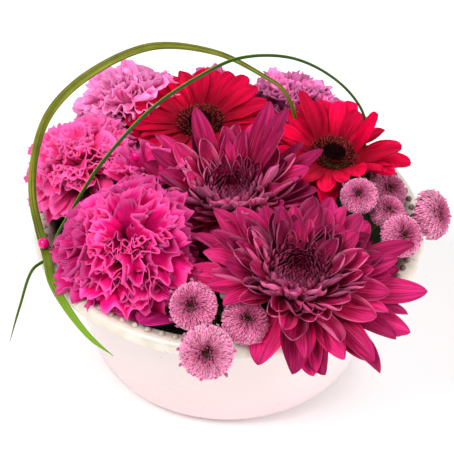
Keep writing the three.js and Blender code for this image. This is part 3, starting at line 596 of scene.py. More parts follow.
def long_corners(petal):
    """The tip and the widest corners of long petals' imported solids."""
    width = petal["width"]
    tip, _, up = spine(petal, 1.0)
    corners = [tip + up * width * petal["cup"] * 0.6]
    is_long = petal["length"] > SHORT
    point, across, up = spine(petal, np.where(is_long, 0.84, 0.7))
    half = width * np.where(is_long, 0.42, 0.5)[:, None]
    for side in (-1, 1):
        corners.append(point + across * (side * half) + up * (width * petal["cup"]))
    return corners


def fan_corners(petal):
    """Three teeth of carnation petals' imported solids."""
    corners = []
    for k in (3, 0, 6):
        across_share = 1 - k / 3
        share = (0.94 if k % 2 else 1) * (1 - 0.13 * across_share**2)
        point, across, up = spine(petal, share)
        rise = petal["ruffle"] * (-1 if k % 2 else 1)
        corners.append(point + across * (petal["width"] * 0.5 * across_share) + up * rise)
    return corners


def found(petal, place, node, corners):
    """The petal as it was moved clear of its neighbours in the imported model, or None if it had no room."""
    tree = corners_of(node)
    lift, turn, length = EASINGS.T
    moved = dict(petal, lift=petal["lift"] + lift, turn=petal["turn"] + turn, length=petal["length"] * length)
    spots = [placed(corner, place) for corner in corners(moved)]
    best, least = None, MATCH
    for i in range(len(EASINGS)):
        worst = 0.0
        for spot in spots:
            worst = max(worst, tree.find(Vector(spot[i]))[2])
            if worst > least:
                break
        if worst < least:
            best, least = i, worst
    if best is None:
        return None
    return dict(petal, **{key: float(moved[key][best]) for key in ("lift", "turn", "length")})


def packed_rows(flower, recipe, corners, part, length, width, uneven, **shared):
    """A flower's petals, row by row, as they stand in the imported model. Length and width scale those of
    the recipe. `uneven` says how far the turns, lifts and lengths sway: by a share of a step, by degrees
    and by a share."""
    place = frame_of(flower["base"], flower["face"])
    rows = []
    for r, row in enumerate(recipe):
        petals = []
        for k in range(row["count"]):
            sways = [u * sway(flower["seed"], r * 40 + k + 1000 * i) for i, u in enumerate(uneven)]
            petal = dict(
                shared,
                root=row["root"],
                height=row["height"],
                turn=2 * math.pi * (k + 0.5 * (r % 2) + sways[0]) / row["count"],
                lift=math.radians(row["lift"] + sways[1]),
                curl=math.radians(row["curl"]),
                length=row["length"] * length * (1 + sways[2]),
                width=row["width"] * width,
            )
            petals.append(found(petal, place, f"{flower['name']}_{part}", corners))
        rows.append(petals)
    return rows


def standing(row):
    """The petals of a row that had room."""
    return [petal for petal in row if petal]


def neighbours(row):
    """The pairs of petals that stand next to each other in a row."""
    return [(a, b) for a, b in zip(row, row[1:] + row[:1]) if a and b]


def between(a, b, share=0.5, lift=0.0, length=1.0, width=1.0):
    """A petal between two that are in place, steeper by `lift` in degrees, and with its size scaled."""
    made = {key: a[key] + (b[key] - a[key]) * share for key in a}
    apart = (b["turn"] - a["turn"] + math.pi) % (2 * math.pi) - math.pi
    made["turn"] = a["turn"] + apart * share
    made["lift"] += math.radians(lift)
    made["length"] *= length
    made["width"] *= width
    return made


# How each kind of petal is cut: the rows and columns of its mesh, its fold along its length, how pointed it
# is, its root as a share of its width, and its thickness.
CUTS = dict(
    heart=(7, 5, 1.2, 0.45, 0.8, 0.35),
    ray=(14, 9, 0.35, 0.42, 0.45, 0.5),
    ring=(6, 3, 0.9, 0.5, 0.6, 0.3),
    disc=(5, 3, 1.0, 0.5, 0.7, 0.5),
    button=(6, 5, 1.1, 0.5, 0.6, 0.3),
    bract=(6, 3, 0.6, 0.8, 0.8, 0.3),
    bud=(7, 5, 0.9, 0.6, 0.7, 0.35),
)


def long_petal(batch, petal, place, seed, cut, tone, second=0.0, third=0.0):
    """A long petal: widest past its middle, with a rounded or pointed tip, cupped and a little twisted."""
    rows, cols, fold, point, waist, thick = cut
    t = np.linspace(0, 1, rows)
    u = 1 - (1 - t) ** 1.5
    v = np.linspace(-1, 1, cols)[None, :]
    spot, across, up = spine(petal, u)
    body = waist + (1 - waist) * smooth(u, 0.0, 0.62)
    end = np.clip((u - 0.66) / 0.34, 0, 1)
    half = petal["width"] * 0.5 * body * np.maximum(1 - end**2, 0) ** point + 0.12
    folded = fold * (0.55 + 0.45 * smooth(u, 0.2, 0.9)) + 0.05
    angle = folded[:, None] * v
    side = half[:, None] / folded[:, None] * np.sin(angle)
    rise = half[:, None] / folded[:, None] * (1 - np.cos(angle))
    rise = rise + 0.3 * np.cos(v * math.pi * 2.0) * smooth(u, 0.1, 0.4)[:, None] * smooth(half, 2, 4)[:, None]
    rise = rise + petal["width"] * 0.035 * np.sin(u * 9 + seed)[:, None] * v**2
    twist = 0.7 * sway(seed, 3) * u
    c, s = np.cos(twist)[:, None], np.sin(twist)[:, None]
    side, rise = side * c - rise * s, side * s + rise * c
    side = side + (petal["length"] * 0.06 * sway(seed, 5) * u**2)[:, None]
    middle = spot[:, None] + across[:, None] * side[..., None] + up[:, None] * rise[..., None]
    thickness = thick * (1 - 0.55 * np.abs(v)) * (1 - 0.5 * end[:, None])
    batch.sheet(placed(middle, place), thickness, u[:, None], v, tone, second, third)


# ---------------------------------------------------------------- chrysanthemums

# The outer rows, whose packed petals are dressed one for one. The rings below stand for the inner rows.
MUM_ROWS = table(
    "count root height lift curl length width",
    (12, 6, 2.5, 0, -14, 1, 17),
    (12, 6, 5, 8, -10, 0.93, 16),
    (12, 6, 8, 14, -2, 0.79, 14.5),
    (11, 6, 11, 21, 6, 0.61, 12.5),
)
# For each of them: how its petals are folded along their length, how pointed they are, how far their tips
# hook inwards, how pale their rims are, and how much steeper and shorter the petals between them stand.
MUM_FINISH = table(
    "fold point hook rim steeper shorter",
    (0.5, 0.74, -6, 0, 4, 0.94),
    (0.62, 0.68, 6, 0, 9, 0.88),
    (0.8, 0.56, 22, 0.2, 14, 0.84),
    (1.0, 0.46, 36, 0.4, 16, 0.85),
)
# The spoon-shaped and then incurved petals of the inner rings.
MUM_RINGS = table(
    "count root height lift hook length width fold rim dark",
    (12, 8, 10, 20, 34, 36, 12.5, 0.9, 0.4, 0),
    (13, 9, 11, 28, 44, 30, 11, 1.05, 0.55, 0.05),
    (14, 10, 11, 36, 52, 25, 9.5, 1.2, 0.65, 0.1),
    (16, 11, 11, 44, 58, 20, 7.5, 1.3, 0.7, 0.15),
    (18, 12, 12, 52, 62, 16, 5.6, 1.3, 0.5, 0.3),
    (20, 13, 13, 60, 62, 13, 4.2, 1.2, 0.3, 0.45),
    (21, 13.5, 14.5, 70, 58, 10.5, 3.2, 1.0, 0.1, 0.6),
)
RIM_SPREAD = 2.2  # how much paler than the recipe says a petal's rim may be
HEART_TOP = 24
WIDEST_HEART = 14
MUM_MESH = (16, 9)  # the rows and columns of a petal's mesh, but for the florets of the heart
MUM_WAIST = 0.3
MUM_THICK = 0.45
# Single petals that stand out of the flower's outline. Those without a tone draw one.
ACCENT = dict(hook=6, root=6, height=7, curl=0, fold=0.6, point=0.66, rim=0, dark=0)
MUM_ACCENTS = dict(
    mum_middle=table(
        "turn lift length width hook tone",
        (123, 52, 54, 12, 6, 0.35),
        (54, 54, 58, 12.5, 6, 0.35),
        (43, 52, 59, 12, 6, 0.15),
        (33, 56, 50, 11, 6, 0.3),
        (96, 52, 33, 10),
        (78, 50, 35, 10),
        (62, 50, 38, 10),
        (144, 32, 50, 11),
        (153, 24, 55, 11),
        (30, 30, 48, 11),
        (21, 26, 54, 11),
        (8, 30, 44, 14, 14),
        (-8, 26, 42, 15, 16),
        (-24, 21, 38, 15, 18),
        (-42, 17, 34, 15, 22),
        (-60, 12, 31, 16, 30),
        (-82, 8, 32, 17, 34),
        (-101, 12, 41, 20, 20),
        (-120, 12, 45, 19, 14),
        (-138, 13, 49, 18, 8),
        (-154, 14, 51, 17, 8),
        (-167, 15, 47, 15, 8),
        (182, 37, 43, 14),
        (168, 37, 50, 13),
    ),
    mum_front=table(
        "turn lift length width hook tone",
        (-3, 3, 64, 15, 6, 0.5),
        (-21, 1, 60, 14),
        (21, 15, 61, 14, 6, 0.2),
        (9, 17, 50, 13, 6, 0.35),
        (-78, -3, 51, 16, 6, 0.9),
        (-112, -2, 46, 19, -42, 0.9),
        (-147, 22, 42, 15, -30),
        (178, 24, 50, 14),
        (165, 34, 36, 11),
        (118, 20, 40, 14, 22),
        (132, 15, 46, 17, 22),
        (146, 11, 53, 20, 16),
        (158, 5, 55, 17, 6),
    ),
)


def mum_heart(batch, flower, place):
    """The tight dark middle: short florets in a spiral, their tips bent inwards."""
    for n, turn, share in spiral(int(0.95 * flower["heart"] ** 2)):
        seed = flower["seed"] + n * 0.37
        length = 5.5 + 2.0 * share + 1.5 * draw(seed, 6)
        petal = dict(
            turn=turn,
            root=flower["heart"] * math.sqrt(share) - 0.6 + 1.2 * share,
            height=HEART_TOP - 1.5 * (1 - share) - length,
            lift=math.radians(86 - 14 * share + 6 * sway(seed, 4)),
            curl=math.radians(25 + 45 * share),
            length=length,
            width=1.8 + 1.4 * share,
        )
        long_petal(batch, petal, place, seed, CUTS["heart"], draw(seed, 1), 1.0 - 0.35 * share, 0.2)


def mum_ring_petals(flower):
    """The petals of the inner rings, each ring half a step round from the one before."""
    petals = []
    for r, row in enumerate(MUM_RINGS):
        for k in range(row["count"]):
            seed = flower["seed"] * 1.7 + r * 41.3 + k * 1.1
            petals.append(
                dict(
                    row,
                    root=row["root"] + flower["heart"] - WIDEST_HEART,
                    turn=2 * math.pi * (k + 0.5 * (r % 2) + 0.4 * sway(seed, 1)) / row["count"],
                    lift=math.radians(row["lift"] + 7 * sway(seed, 2)),
                    curl=math.radians(4 * sway(seed, 3)),
                    hook=math.radians(row["hook"] * (1 + 0.25 * sway(seed, 4))),
                    length=row["length"] * flower["scale"] * (1 + 0.1 * sway(seed, 5)),
                    width=row["width"] * flower["scale"] * (1 + 0.15 * sway(seed, 6)),
                    point=0.5,
                    rim=min(1.0, RIM_SPREAD * row["rim"] * draw(seed, 7)),
                )
            )
    return petals


def mum_outer_petals(flower):
    """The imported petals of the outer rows, with steeper and shorter ones between them."""
    scale = flower["scale"]
    length = (MUM_R - 6) * scale
    rows = packed_rows(flower, MUM_ROWS, long_corners, "petals", length, scale, (0.16, 3, 0.07), cup=0.16)
    petals = []
    for r, (row, finish) in enumerate(zip(rows, MUM_FINISH)):
        grown = standing(row)
        for i, (a, b) in enumerate(neighbours(row)):
            own = flower["seed"] + r * 31 + i
            steeper = finish["steeper"] * (1 + 0.5 * sway(own, 1))
            shorter = finish["shorter"] * (1 + 0.07 * sway(own, 2))
            grown.append(between(a, b, 0.5 + 0.12 * sway(own, 3), steeper, shorter, 0.95))
        for i, petal in enumerate(grown):
            own = flower["seed"] * 3.1 + r * 17.3 + i * 1.7
            petals.append(
                dict(
                    petal,
                    fold=finish["fold"],
                    point=finish["point"],
                    hook=math.radians(finish["hook"] + 14 * sway(own, 6)),
                    width=petal["width"] * (1.05 + 0.12 * sway(own, 7)),
                    rim=RIM_SPREAD * finish["rim"] * draw(own, 8),
                    dark=0,
                )
            )
    return petals


def mum_flower(flower):
    place = frame_of(flower["base"], flower["face"])
    petals = mum_outer_petals(flower) + mum_ring_petals(flower)
    for accent in MUM_ACCENTS[flower["name"]]:
        accent = dict(ACCENT, **accent)
        petals.append(dict(accent, **{key: math.radians(accent[key]) for key in ("turn", "lift", "hook")}))
    batch = Batch()
    for i, petal in enumerate(petals):
        seed = flower["seed"] * 5.3 + i * 1.9
        fold = petal["fold"] * (1 + 0.25 * sway(seed, 2))
        cut = (*MUM_MESH, fold, petal["point"], MUM_WAIST, MUM_THICK)
        tone = petal.get("tone", draw(seed, 1))
        long_petal(batch, petal, place, seed, cut, tone, petal["dark"], petal["rim"])
    mum_heart(batch, flower, place)
    piece(flower["name"] + "_bloom", batch, MUM, "mum", flower["name"] + "_petals")


# ---------------------------------------------------------------- gerberas

GERBERA_ROWS = table(
    "count height lift curl length width",
    (13, 1.6, 5, -4, 1, 12.5),
    (12, 3.2, 16, -8, 0.88, 11),
)
HUB_R = 16.5
RAY_OVERLAP = 5  # how far the rays reach under the ring of florets
RING_FLORETS = 190
DISC_FLORETS = 110


def gerbera_rays(flower, place):
    scale = flower["scale"]
    hub = HUB_R * scale
    recipe = [dict(row, root=hub - RAY_OVERLAP) for row in GERBERA_ROWS]
    length = GERBERA_R * scale - hub + RAY_OVERLAP
    rows = packed_rows(flower, recipe, long_corners, "rays", length, scale, (0.12, 3, 0.05), cup=0.06)
    batch = Batch()
    for r, row in enumerate(rows):
        extra = [between(a, b, 0.5, 4, 0.94, 0.9) for a, b in neighbours(row)] if r else []
        for i, petal in enumerate(standing(row) + extra):
            seed = flower["seed"] * 2.3 + r * 11.9 + i * 1.3
            long_petal(batch, petal, place, seed, CUTS["ray"], draw(seed, 1), 0.0, 0.1)
    return batch


def gerbera_ring(flower, place):
    """The short dark red florets round the disc, upright inside and leaning out further out."""
    batch = Batch()
    for n, turn, share in spiral(RING_FLORETS):
        seed = flower["seed"] + n * 0.53
        petal = dict(
            turn=turn,
            root=(5.8 + 4.2 * share) * flower["scale"],
            height=2.6,
            lift=math.radians(82 - 44 * share + 6 * sway(seed, 4)),
            curl=math.radians(-20),
            length=3.8 + 1.4 * share + 0.5 * sway(seed, 5),
            width=1.1 + 0.4 * share,
        )
        long_petal(batch, petal, place, seed, CUTS["ring"], draw(seed, 1))
    return batch


def gerbera_disc(flower, place):
    batch = Batch()
    for n, turn, share in spiral(DISC_FLORETS):
        seed = flower["seed"] + n * 0.71
        petal = dict(
            turn=turn,
            root=6.2 * math.sqrt(share) * flower["scale"],
            height=3.6,
            lift=math.radians(88 - 14 * share),
            curl=math.radians(12),
            length=2.6 + 0.5 * sway(seed, 5),
            width=1.5,
        )
        long_petal(batch, petal, place, seed, CUTS["disc"], draw(seed, 1))
    return batch


def gerbera_flower(flower):
    name = flower["name"]
    place = frame_of(flower["base"], flower["face"])
    piece(name + "_ray_petals", gerbera_rays(flower, place), GERBERA, "gerbera", name + "_rays")
    piece(name + "_ring_florets", gerbera_ring(flower, place), RING, "gerbera")
    piece(name + "_heart", gerbera_disc(flower, place), DISC, "gerbera_disc", name + "_disc")


# ---------------------------------------------------------------- carnations

CARNATION_ROWS = table(
    "count lift curl width root height length",
    (6, -2, 8, 0.92, 2, 3, 0.93),
    (6, 20, 10, 0.82, 2, 3, 0.93),
    (5, 42, 12, 0.72, 2, 3, 0.93),
    (4, 60, 16, 0.6, 2, 3, 0.93),
    (2, 80, 10, 0.5, 2, 3, 0.93),
)
CARNATION_FILL = 10  # petals that fill a carnation's middle


def fan_petal(batch, petal, place, seed, tone, pale, rows=10, cols=37):
    """A carnation's petal: a fan that widens from a narrow root, crumpled more and more to its toothed
    edge, which turns outwards."""
    t = np.linspace(0, 1, rows)[:, None]
    v = np.linspace(-1, 1, cols)[None, :]
    width = petal["width"]
    phases = [6.28 * draw(seed, k) for k in range(10, 17)]
    tooth = 0.02 * np.abs(np.sin(v * 17 + phases[0])) + 0.012 * np.sin(v * 37 + phases[1])
    reach = 1 - 0.13 * v**2 - (tooth + 0.04 * np.sin(v * 5 + phases[2])) * t**3
    spot, across, up = spine(petal, (0.22 + 0.78 * t) * reach)
    half = width * 0.5 * (0.14 + 0.86 * smooth(t, 0.0, 0.8))
    folds = 4.5 + 3.5 * draw(seed, 2)
    deep = width * (0.07 + 0.09 * draw(seed, 3)) * smooth(t, 0.3, 1.05) ** 1.2
    crumple = np.sin(v * folds + phases[3]) + 0.55 * np.sin(v * folds * 2.3 + phases[4] + 2.5 * t)
    crumple = crumple + 0.35 * np.sin(v * folds * 4.1 + phases[5] - 4 * t) * t**2
    lip = petal["length"] * (petal.get("lip", 0.1) + 0.1 * draw(seed, 6)) * smooth(t, 0.55, 1.0) ** 1.5
    rise = deep * crumple - lip + width * 0.16 * sway(seed, 7) * v * t
    side = half * v + 0.5 * deep * np.cos(v * folds * 1.6 + phases[6] + 2 * t)
    middle = spot + across * side[..., None] + up * rise[..., None]
    batch.sheet(placed(middle, place), np.full(side.shape, 0.3), t, v, tone, 0.0, pale)


def carnation_flower(flower):
    """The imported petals, steeper ones at three places between them, and ones that fill the middle."""
    place = frame_of(flower["base"], flower["face"])
    radius = flower["radius"]
    recipe = CARNATION_ROWS[-flower["rows"] :]
    rows = packed_rows(flower, recipe, fan_corners, "petals", radius, radius, (0.12, 4, 0.06), ruffle=2.2)
    grown = []
    for r, row in enumerate(rows):
        step = (recipe[min(r + 1, len(recipe) - 1)]["lift"] - recipe[r]["lift"]) * 0.5
        grown += standing(row)
        for share, steeper, shorter, narrower in (
            (0.5, 1, 0.97, 0.85),
            (0.25, 0.6, 0.92, 0.7),
            (0.8, 1.3, 0.95, 0.6),
        ):
            grown += [between(a, b, share, step * steeper, shorter, narrower) for a, b in neighbours(row)]
    for n in range(CARNATION_FILL):
        seed = flower["seed"] + n * 0.83
        grown.append(
            dict(
                turn=n * GOLDEN,
                root=0.5,
                height=2,
                lift=math.radians(74 - 1.8 * n + 12 * sway(seed, 1)),
                curl=0.15,
                length=radius * (0.86 + 0.08 * sway(seed, 2)),
                width=radius * 0.72,
                lip=0.26,
            )
        )
    batch = Batch()
    for i, petal in enumerate(grown):
        seed = flower["seed"] * 1.9 + i * 2.3
        petal = dict(
            petal,
            turn=petal["turn"] + 0.22 * sway(seed, 8),
            lift=petal["lift"] + 0.14 * sway(seed, 9),
            length=petal["length"] * flower["reach"],
        )
        # Painted light: a flower in shade has its darkest petals lifted.
        tone = flower["glow"] + (1 - flower["glow"]) * draw(seed, 1)
        fan_petal(batch, petal, place, seed, tone, flower["pale"])
    piece(flower["name"] + "_bloom", batch, CARNATION, "carnation", flower["name"] + "_petals")


# ---------------------------------------------------------------- button chrysanthemums

# The outline of a button chrysanthemum, as radius and height, from its middle to its underside, and of the
# core inside it.
BUTTON_OUTLINE = np.array(
    [(0, 5.8), (3.4, 8.2), (8.2, 8.8), (12, 6.4), (14.2, 2), (13.6, -2.6), (10.5, -5.2)]
)
BUTTON_CORE = np.array([(0.3, 2.6), (4, 3.2), (8.4, 3.4), (10.8, 1), (10.5, -3), (7, -6.2), (0.3, -6.4)])
BUTTON_FLORETS = 290
COVERED = 0.87  # the share of the outline's area that carries florets, from the middle on


def button_flower(button):
    """Florets in a spiral over the outline, longer further out, on a plain core. Each ends on the outline."""
    place = frame_of(button["centre"], button["face"])
    scale = button["scale"]
    travel = np.cumsum([0, *np.linalg.norm(np.diff(BUTTON_OUTLINE, axis=0), axis=1)])
    fine = np.linspace(0, travel[-1], 200)
    radius, height = (np.interp(fine, travel, column) for column in BUTTON_OUTLINE.T)
    area = np.cumsum(radius + 1.2)
    area = area / area[-1]
    batch = Batch()
    for n, turn, share in spiral(BUTTON_FLORETS):
        i = int(np.searchsorted(area, COVERED * share))
        low, high = max(i - 6, 0), min(i + 6, len(fine) - 1)
        tangent = math.atan2(height[high] - height[low], radius[high] - radius[low])
        ring = fine[i] / travel[-1]
        seed = n * 0.91 + button["centre"][0]
        petal = dict(
            turn=0.0,
            root=0.0,
            height=0.0,
            lift=tangent + math.radians(52 - 26 * ring + 9 * sway(seed, 2)),
            curl=math.radians(14 + 12 * sway(seed, 3)),
            length=(3.2 + 6.0 * ring - 7.0 * max(ring - 0.7, 0) + 0.8 * sway(seed, 6)) * scale,
            width=(1.0 + 1.0 * ring) * scale,
        )
        end = spine(petal, np.array(1.0))[0]
        petal.update(turn=turn, root=radius[i] * scale - end[0], height=height[i] * scale - end[2])
        long_petal(batch, petal, place, seed, CUTS["button"], draw(seed, 1), ring, button["pale"])
    core = turned(BUTTON_CORE * scale, circle(24))
    batch.rings(placed(core[::-1], place), 0.35, along=0.2)
    piece(button["name"] + "_florets", batch, BUTTON, "button", button["name"])


# ---------------------------------------------------------------- stems and green cups


def tube(batch, points, radii, sides=14):
    """A round stem through points, smoothed, with a radius at each of them."""
    points, radii = np.array(points, float), np.array(radii, float)
    at = np.linspace(0, len(points) - 1, (len(points) - 1) * 5 + 1)
    low = np.minimum(at.astype(int), len(points) - 2)
    w = (at - low)[:, None]
    line = points[low] * (1 - w) + points[low + 1] * w
    ease = np.convolve(np.interp(at, range(len(radii)), radii), [0.25, 0.5, 0.25], "same")
    ease[[0, -1]] = radii[[0, -1]]
    for _ in range(3):
        line = eased(line)
    along = unit(np.gradient(line, axis=0))
    across = unit(np.cross(along, np.array([0.3, 0.9, 0.1])))
    other = np.cross(along, across)
    turn = circle(sides)
    ring = line[:, None] + across[:, None] * (ease[:, None] * np.cos(turn))[..., None]
    batch.rings(ring + other[:, None] * (ease[:, None] * np.sin(turn))[..., None])


def stem_and_cup(flower, cup_length, cup_radius, stem_radius, bracts):
    """The green cup under a flower, with its small overlapping bracts, and the stem below it."""
    place = frame_of(flower["base"], flower["face"])
    base, up = place[1], place[0][:, 2]
    top = base - up * (cup_length + 1)
    bent = top[:2] - up[:2] * 7
    bent = bent * min(1.0, STEM_REACH / max(np.linalg.norm(bent), 1e-6))
    points = [
        (*bent, FOAM_TOP - STEM_DEPTH),
        (*bent, FOAM_TOP + 2),
        base - up * (cup_length + 2),
        base - up * (cup_length * 0.75 + SEAT_GAP),
        base - up * (cup_length * 0.35 + SEAT_GAP),
        base - up * SEAT_GAP,
    ]
    batch = Batch()
    tube(batch, points, [stem_radius] * 3 + [cup_radius * share for share in (0.62, 0.93, 0.97)])
    for n, turn, share in spiral(bracts):
        petal = dict(
            turn=turn,
            root=cup_radius * (0.5 + 0.4 * share) * 0.9,
            height=-cup_length * (0.95 - 0.5 * share),
            lift=math.radians(68),
            curl=math.radians(14),
            length=cup_length * 0.5,
            width=2.6,
        )
        long_petal(batch, petal, place, n + base[0], CUTS["bract"], draw(n, 3))
    piece(flower["name"] + "_green", batch, STEM, "green", flower["name"] + "_stem")


SPRAYS = table(
    "name spray root fork",
    ("spray_front_stem", "front", (-5, -75), (-6, -79, 93)),
    ("spray_right_stem", "right", (76, -4), (82, -5, 94)),
)
OVER_RIM_R = 94  # beyond this radius a branch passes over the rim
OVER_RIM_Z = BOWL_H + 3.6
BUD_BEND = (76, 5, 101)
BUD_SCALES = 34


def spray_stems(spray):
    """The stem of a spray, its branches to the buttons, and the green bud of the right one."""
    batch = Batch()
    root, fork = spray["root"], np.array(spray["fork"], float)
    tube(batch, [(*root, FOAM_TOP - STEM_DEPTH), (*root, FOAM_TOP + 1), fork], [1.7, 1.7, 1.6])
    for button in BUTTONS:
        if button["spray"] != spray["spray"]:
            continue
        place = frame_of(button["centre"], button["face"])
        up = place[0][:, 2]
        elbow = place[1] - up * 12
        elbow = elbow + (fork - elbow) * 0.35
        if math.hypot(elbow[0], elbow[1]) > OVER_RIM_R:
            elbow[2] = max(elbow[2], OVER_RIM_Z)
        back = 6.5 * button["scale"] + SEAT_GAP
        seat = [place[1] - up * (back + 3), place[1] - up * back]
        tube(batch, [fork, elbow, *seat], [1.3, 1.2, 1.6, 4.2])
    if spray["spray"] == "right":
        tube(batch, [fork, BUD_BEND, np.array(BUD, float) - (0, 0, 3)], [1.2, 1.1, 1.4])
        bud(batch)
    piece(spray["name"] + "s", batch, STEM, "green", spray["name"])


def bud(batch):
    """A closed bud: green scales in a spiral, bent inwards."""
    place = frame_of(BUD, BUD_FACE)
    for n, turn, share in spiral(BUD_SCALES):
        petal = dict(
            turn=turn,
            root=0.6 + 2.6 * math.sqrt(share),
            height=-2.6 - 0.6 * share,
            lift=math.radians(84 - 30 * share),
            curl=math.radians(60 + 30 * share),
            length=7.0 - 1.4 * share,
            width=2.0 + 1.6 * share,
        )
        long_petal(batch, petal, place, n * 1.3, CUTS["bud"], draw(n, 2))


# ---------------------------------------------------------------- leaves, the tucked petal, grass and pins

LEAF_KEYS = "name root turn lift length half"
LEAVES = table(
    LEAF_KEYS,
    ("leaf_front", (-40, -54), -116, 26, 31, 12),
    ("leaf_front_right", (58, -36), -24, 30, 33, 13),
    ("leaf_right", (44, -8), -14, 34, 34, 13),
    ("leaf_back", (9, 74), 84, 32, 24, 9),
    ("leaf_back_left", (-62, 42), 146, 34, 24, 9),
    ("leaf_left", (-70, -14), 191, 30, 26, 10),
)
TUCKED = table(LEAF_KEYS, ("tucked_petal", (-25, -72), 225, 34, 32, 10))[0]
# How wide they are along their length, as shares of their half width.
LEAF_HALVES = [0.05, 0.7, 0.42, 1, 0.5, 0.8, 0.36, 0.02]
TUCKED_HALVES = [0.05, 0.6, 1, 1.05, 1.05, 1]


def leaf(row, material, slot, halves, ripple, round_tip):
    """A leaf, or the petal like one, on a short stalk that stands in the foam."""
    foot = FOAM_TOP + 3
    root, turn = row["root"], math.radians(row["turn"])
    petal = dict(row, turn=turn, root=0.0, height=0.0, lift=math.radians(row["lift"]), curl=math.radians(-26))
    u = np.linspace(0, 1, 33)
    v = np.linspace(-1, 1, 17)[None, :]
    outline = eased(eased(np.interp(u, np.linspace(0, 1, len(halves)), halves)))
    if round_tip:
        outline = outline * np.sqrt(1 - np.clip((u - 0.55) / 0.45, 0, 1) ** 2) + 0.01
    half = (row["half"] * outline)[:, None]
    spot, across, up = spine(petal, u)
    away = np.abs(v)
    rise = half * 0.22 * away**1.5 + ripple * np.sin(u[:, None] * 22 + 3 * v) * away
    middle = spot[:, None] + across[:, None] * (half * v)[..., None] + up[:, None] * rise[..., None]
    batch = Batch()
    place = (np.eye(3), np.array((*root, foot), float))
    thick = 0.5 * (1 - 0.5 * away) + 0 * u[:, None]
    batch.sheet(placed(middle, place), thick, u[:, None], v, draw(turn, 1))
    under = (root[0] + 2.5 * math.cos(turn), root[1] + 2.5 * math.sin(turn), foot + 1)
    tube(batch, [(*root, FOAM_TOP - 20), (*root, foot - 1), under], [1.2, 1.2, 0.8])
    piece(row["name"] + "_blade", batch, material, slot, row["name"])


# The blades: their middle lines from the foam to the tip, their widths along it, the way their faces look,
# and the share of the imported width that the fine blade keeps.
GRASS = [
    dict(
        name="grass_wide",
        points=[
            (42, 45, 58), (41, 46, 84), (38, 46, 120), (30, 40, 150), (17, 33, 166), (-10, 24, 187),
            (-44, 19, 193), (-78, 9, 180), (-98, 2, 160), (-107, -3, 133), (-108, -12, 112),
            (-103.5, -25, 99), (-98.5, -42, 96), (-94, -62, 95.2), (-84, -79, 90), (-72, -91, 82),
            (-59, -98, 75),
        ],
        widths=[2.4, 2.4, 2.4, 2.4, 2.5, 3.4, 4.6, 5.2, 5, 4.6, 4.8, 5.2, 5.4, 5.2, 4.4, 3, 1.2],
        face_up=(0.2, -0.7, 0.7),
        share=0.92,
        material=GRASS_WIDE,
    ),
    dict(
        name="grass_narrow",
        points=[
            (70, 37, 58), (71, 38, 84), (77, 42, 116), (74, 39, 138), (57, 32, 165), (31, 23, 185),
            (4, 17, 188), (-17, 8, 182), (-43, -4, 168), (-70, -17, 140), (-86, -25, 114),
            (-93.5, -32, 102.5), (-97.5, -38.5, 93.2), (-106, -47, 91), (-113, -57, 73), (-119, -67, 54),
        ],
        widths=[2, 2, 2, 2, 2, 2.2, 2.4, 2.6, 2.6, 2.6, 2.4, 2.2, 2.2, 2.2, 1.8, 1],
        face_up=(0, -0.6, 0.8),
        share=0.75,
        material=GRASS_NARROW,
    ),
]


def curve_through(points, shares):
    """Points of a smooth curve through points, spaced as the square root of their distances."""
    points = np.array(points, float)
    ends = np.concatenate([[2 * points[0] - points[1]], points, [2 * points[-1] - points[-2]]])
    made = []
    for share in shares:
        at = share * (len(points) - 1)
        i = min(int(at), len(points) - 2)
        p0, p1, p2, p3 = ends[i : i + 4]
        k0, k1, k2 = (max(np.linalg.norm(b - a), 1e-6) ** 0.5 for a, b in ((p0, p1), (p1, p2), (p2, p3)))
        m1 = ((p1 - p0) / k0 - (p2 - p0) / (k0 + k1) + (p2 - p1) / k1) * k1
        m2 = ((p2 - p1) / k1 - (p3 - p1) / (k1 + k2) + (p3 - p2) / k2) * k1
        w = at - i
        start = p1 * (2 * w**3 - 3 * w**2 + 1) + m1 * (w**3 - 2 * w**2 + w)
        made.append(start + p2 * (3 * w**2 - 2 * w**3) + m2 * (w**3 - w**2))
    return np.array(made)


def grass(row):
    """A long blade, a little hollow, narrowing to its tip."""
    u = np.linspace(0, 0.997, 150)
    v = np.linspace(-1, 1, 7)[None, :]
    widths = row["widths"]
    line = curve_through(row["points"], u)
    along = unit(np.gradient(line, axis=0))
    across = unit(np.cross(along, unit(row["face_up"])))
    up = np.cross(across, along)
    half = np.interp(u * (len(widths) - 1), range(len(widths)), widths) / 2
    half = (half * row["share"] * np.minimum(1, (1 - u) / 0.05) ** 0.7 + 0.05)[:, None]
    rise = half * 0.12 * np.abs(v) ** 1.3
    middle = line[:, None] + across[:, None] * (half * v)[..., None] + up[:, None] * rise[..., None]
    batch = Batch()
    batch.sheet(middle, 0.4 * (1.1 - np.abs(v)) + 0.12 + 0 * u[:, None], u[:, None], v)
    piece(row["name"] + "_blade", batch, row["material"], "grass", row["name"])


PINS = table(
    "name head point radius look",
    ("pin_rim", (-100.7, -35.7, 100.3), (-79, -24, 72), 3.1, "pearl_pink"),
    ("pin_inner", (-52, 8, 128), (-66, 2, 71), 2.9, "pearl_pink"),
    ("pin_front", (-1.5, -76, 101), (-1.5, -74, 66), 2.8, "pearl_white"),
)


def ball(batch, centre, radius, rings=18, around=28, second=0.0, third=0.0):
    polar = np.linspace(0.02, math.pi - 0.02, rings)[::-1]
    outline = np.stack([np.sin(polar), np.cos(polar)], -1)
    points = turned(outline, circle(around)) * radius + np.array(centre, float)
    batch.rings(points, second, third)


def pin(row):
    batch = Batch()
    ball(batch, row["head"], row["radius"])
    head, point = np.array(row["head"], float), np.array(row["point"], float)
    tube(batch, [point, point + (head - point) * 0.04, head], [0.1, 0.42, 0.42], 10)
    piece(row["name"] + "_pearl", batch, PEARLS[row["look"]], row["look"], row["name"])


# ---------------------------------------------------------------- the bowl

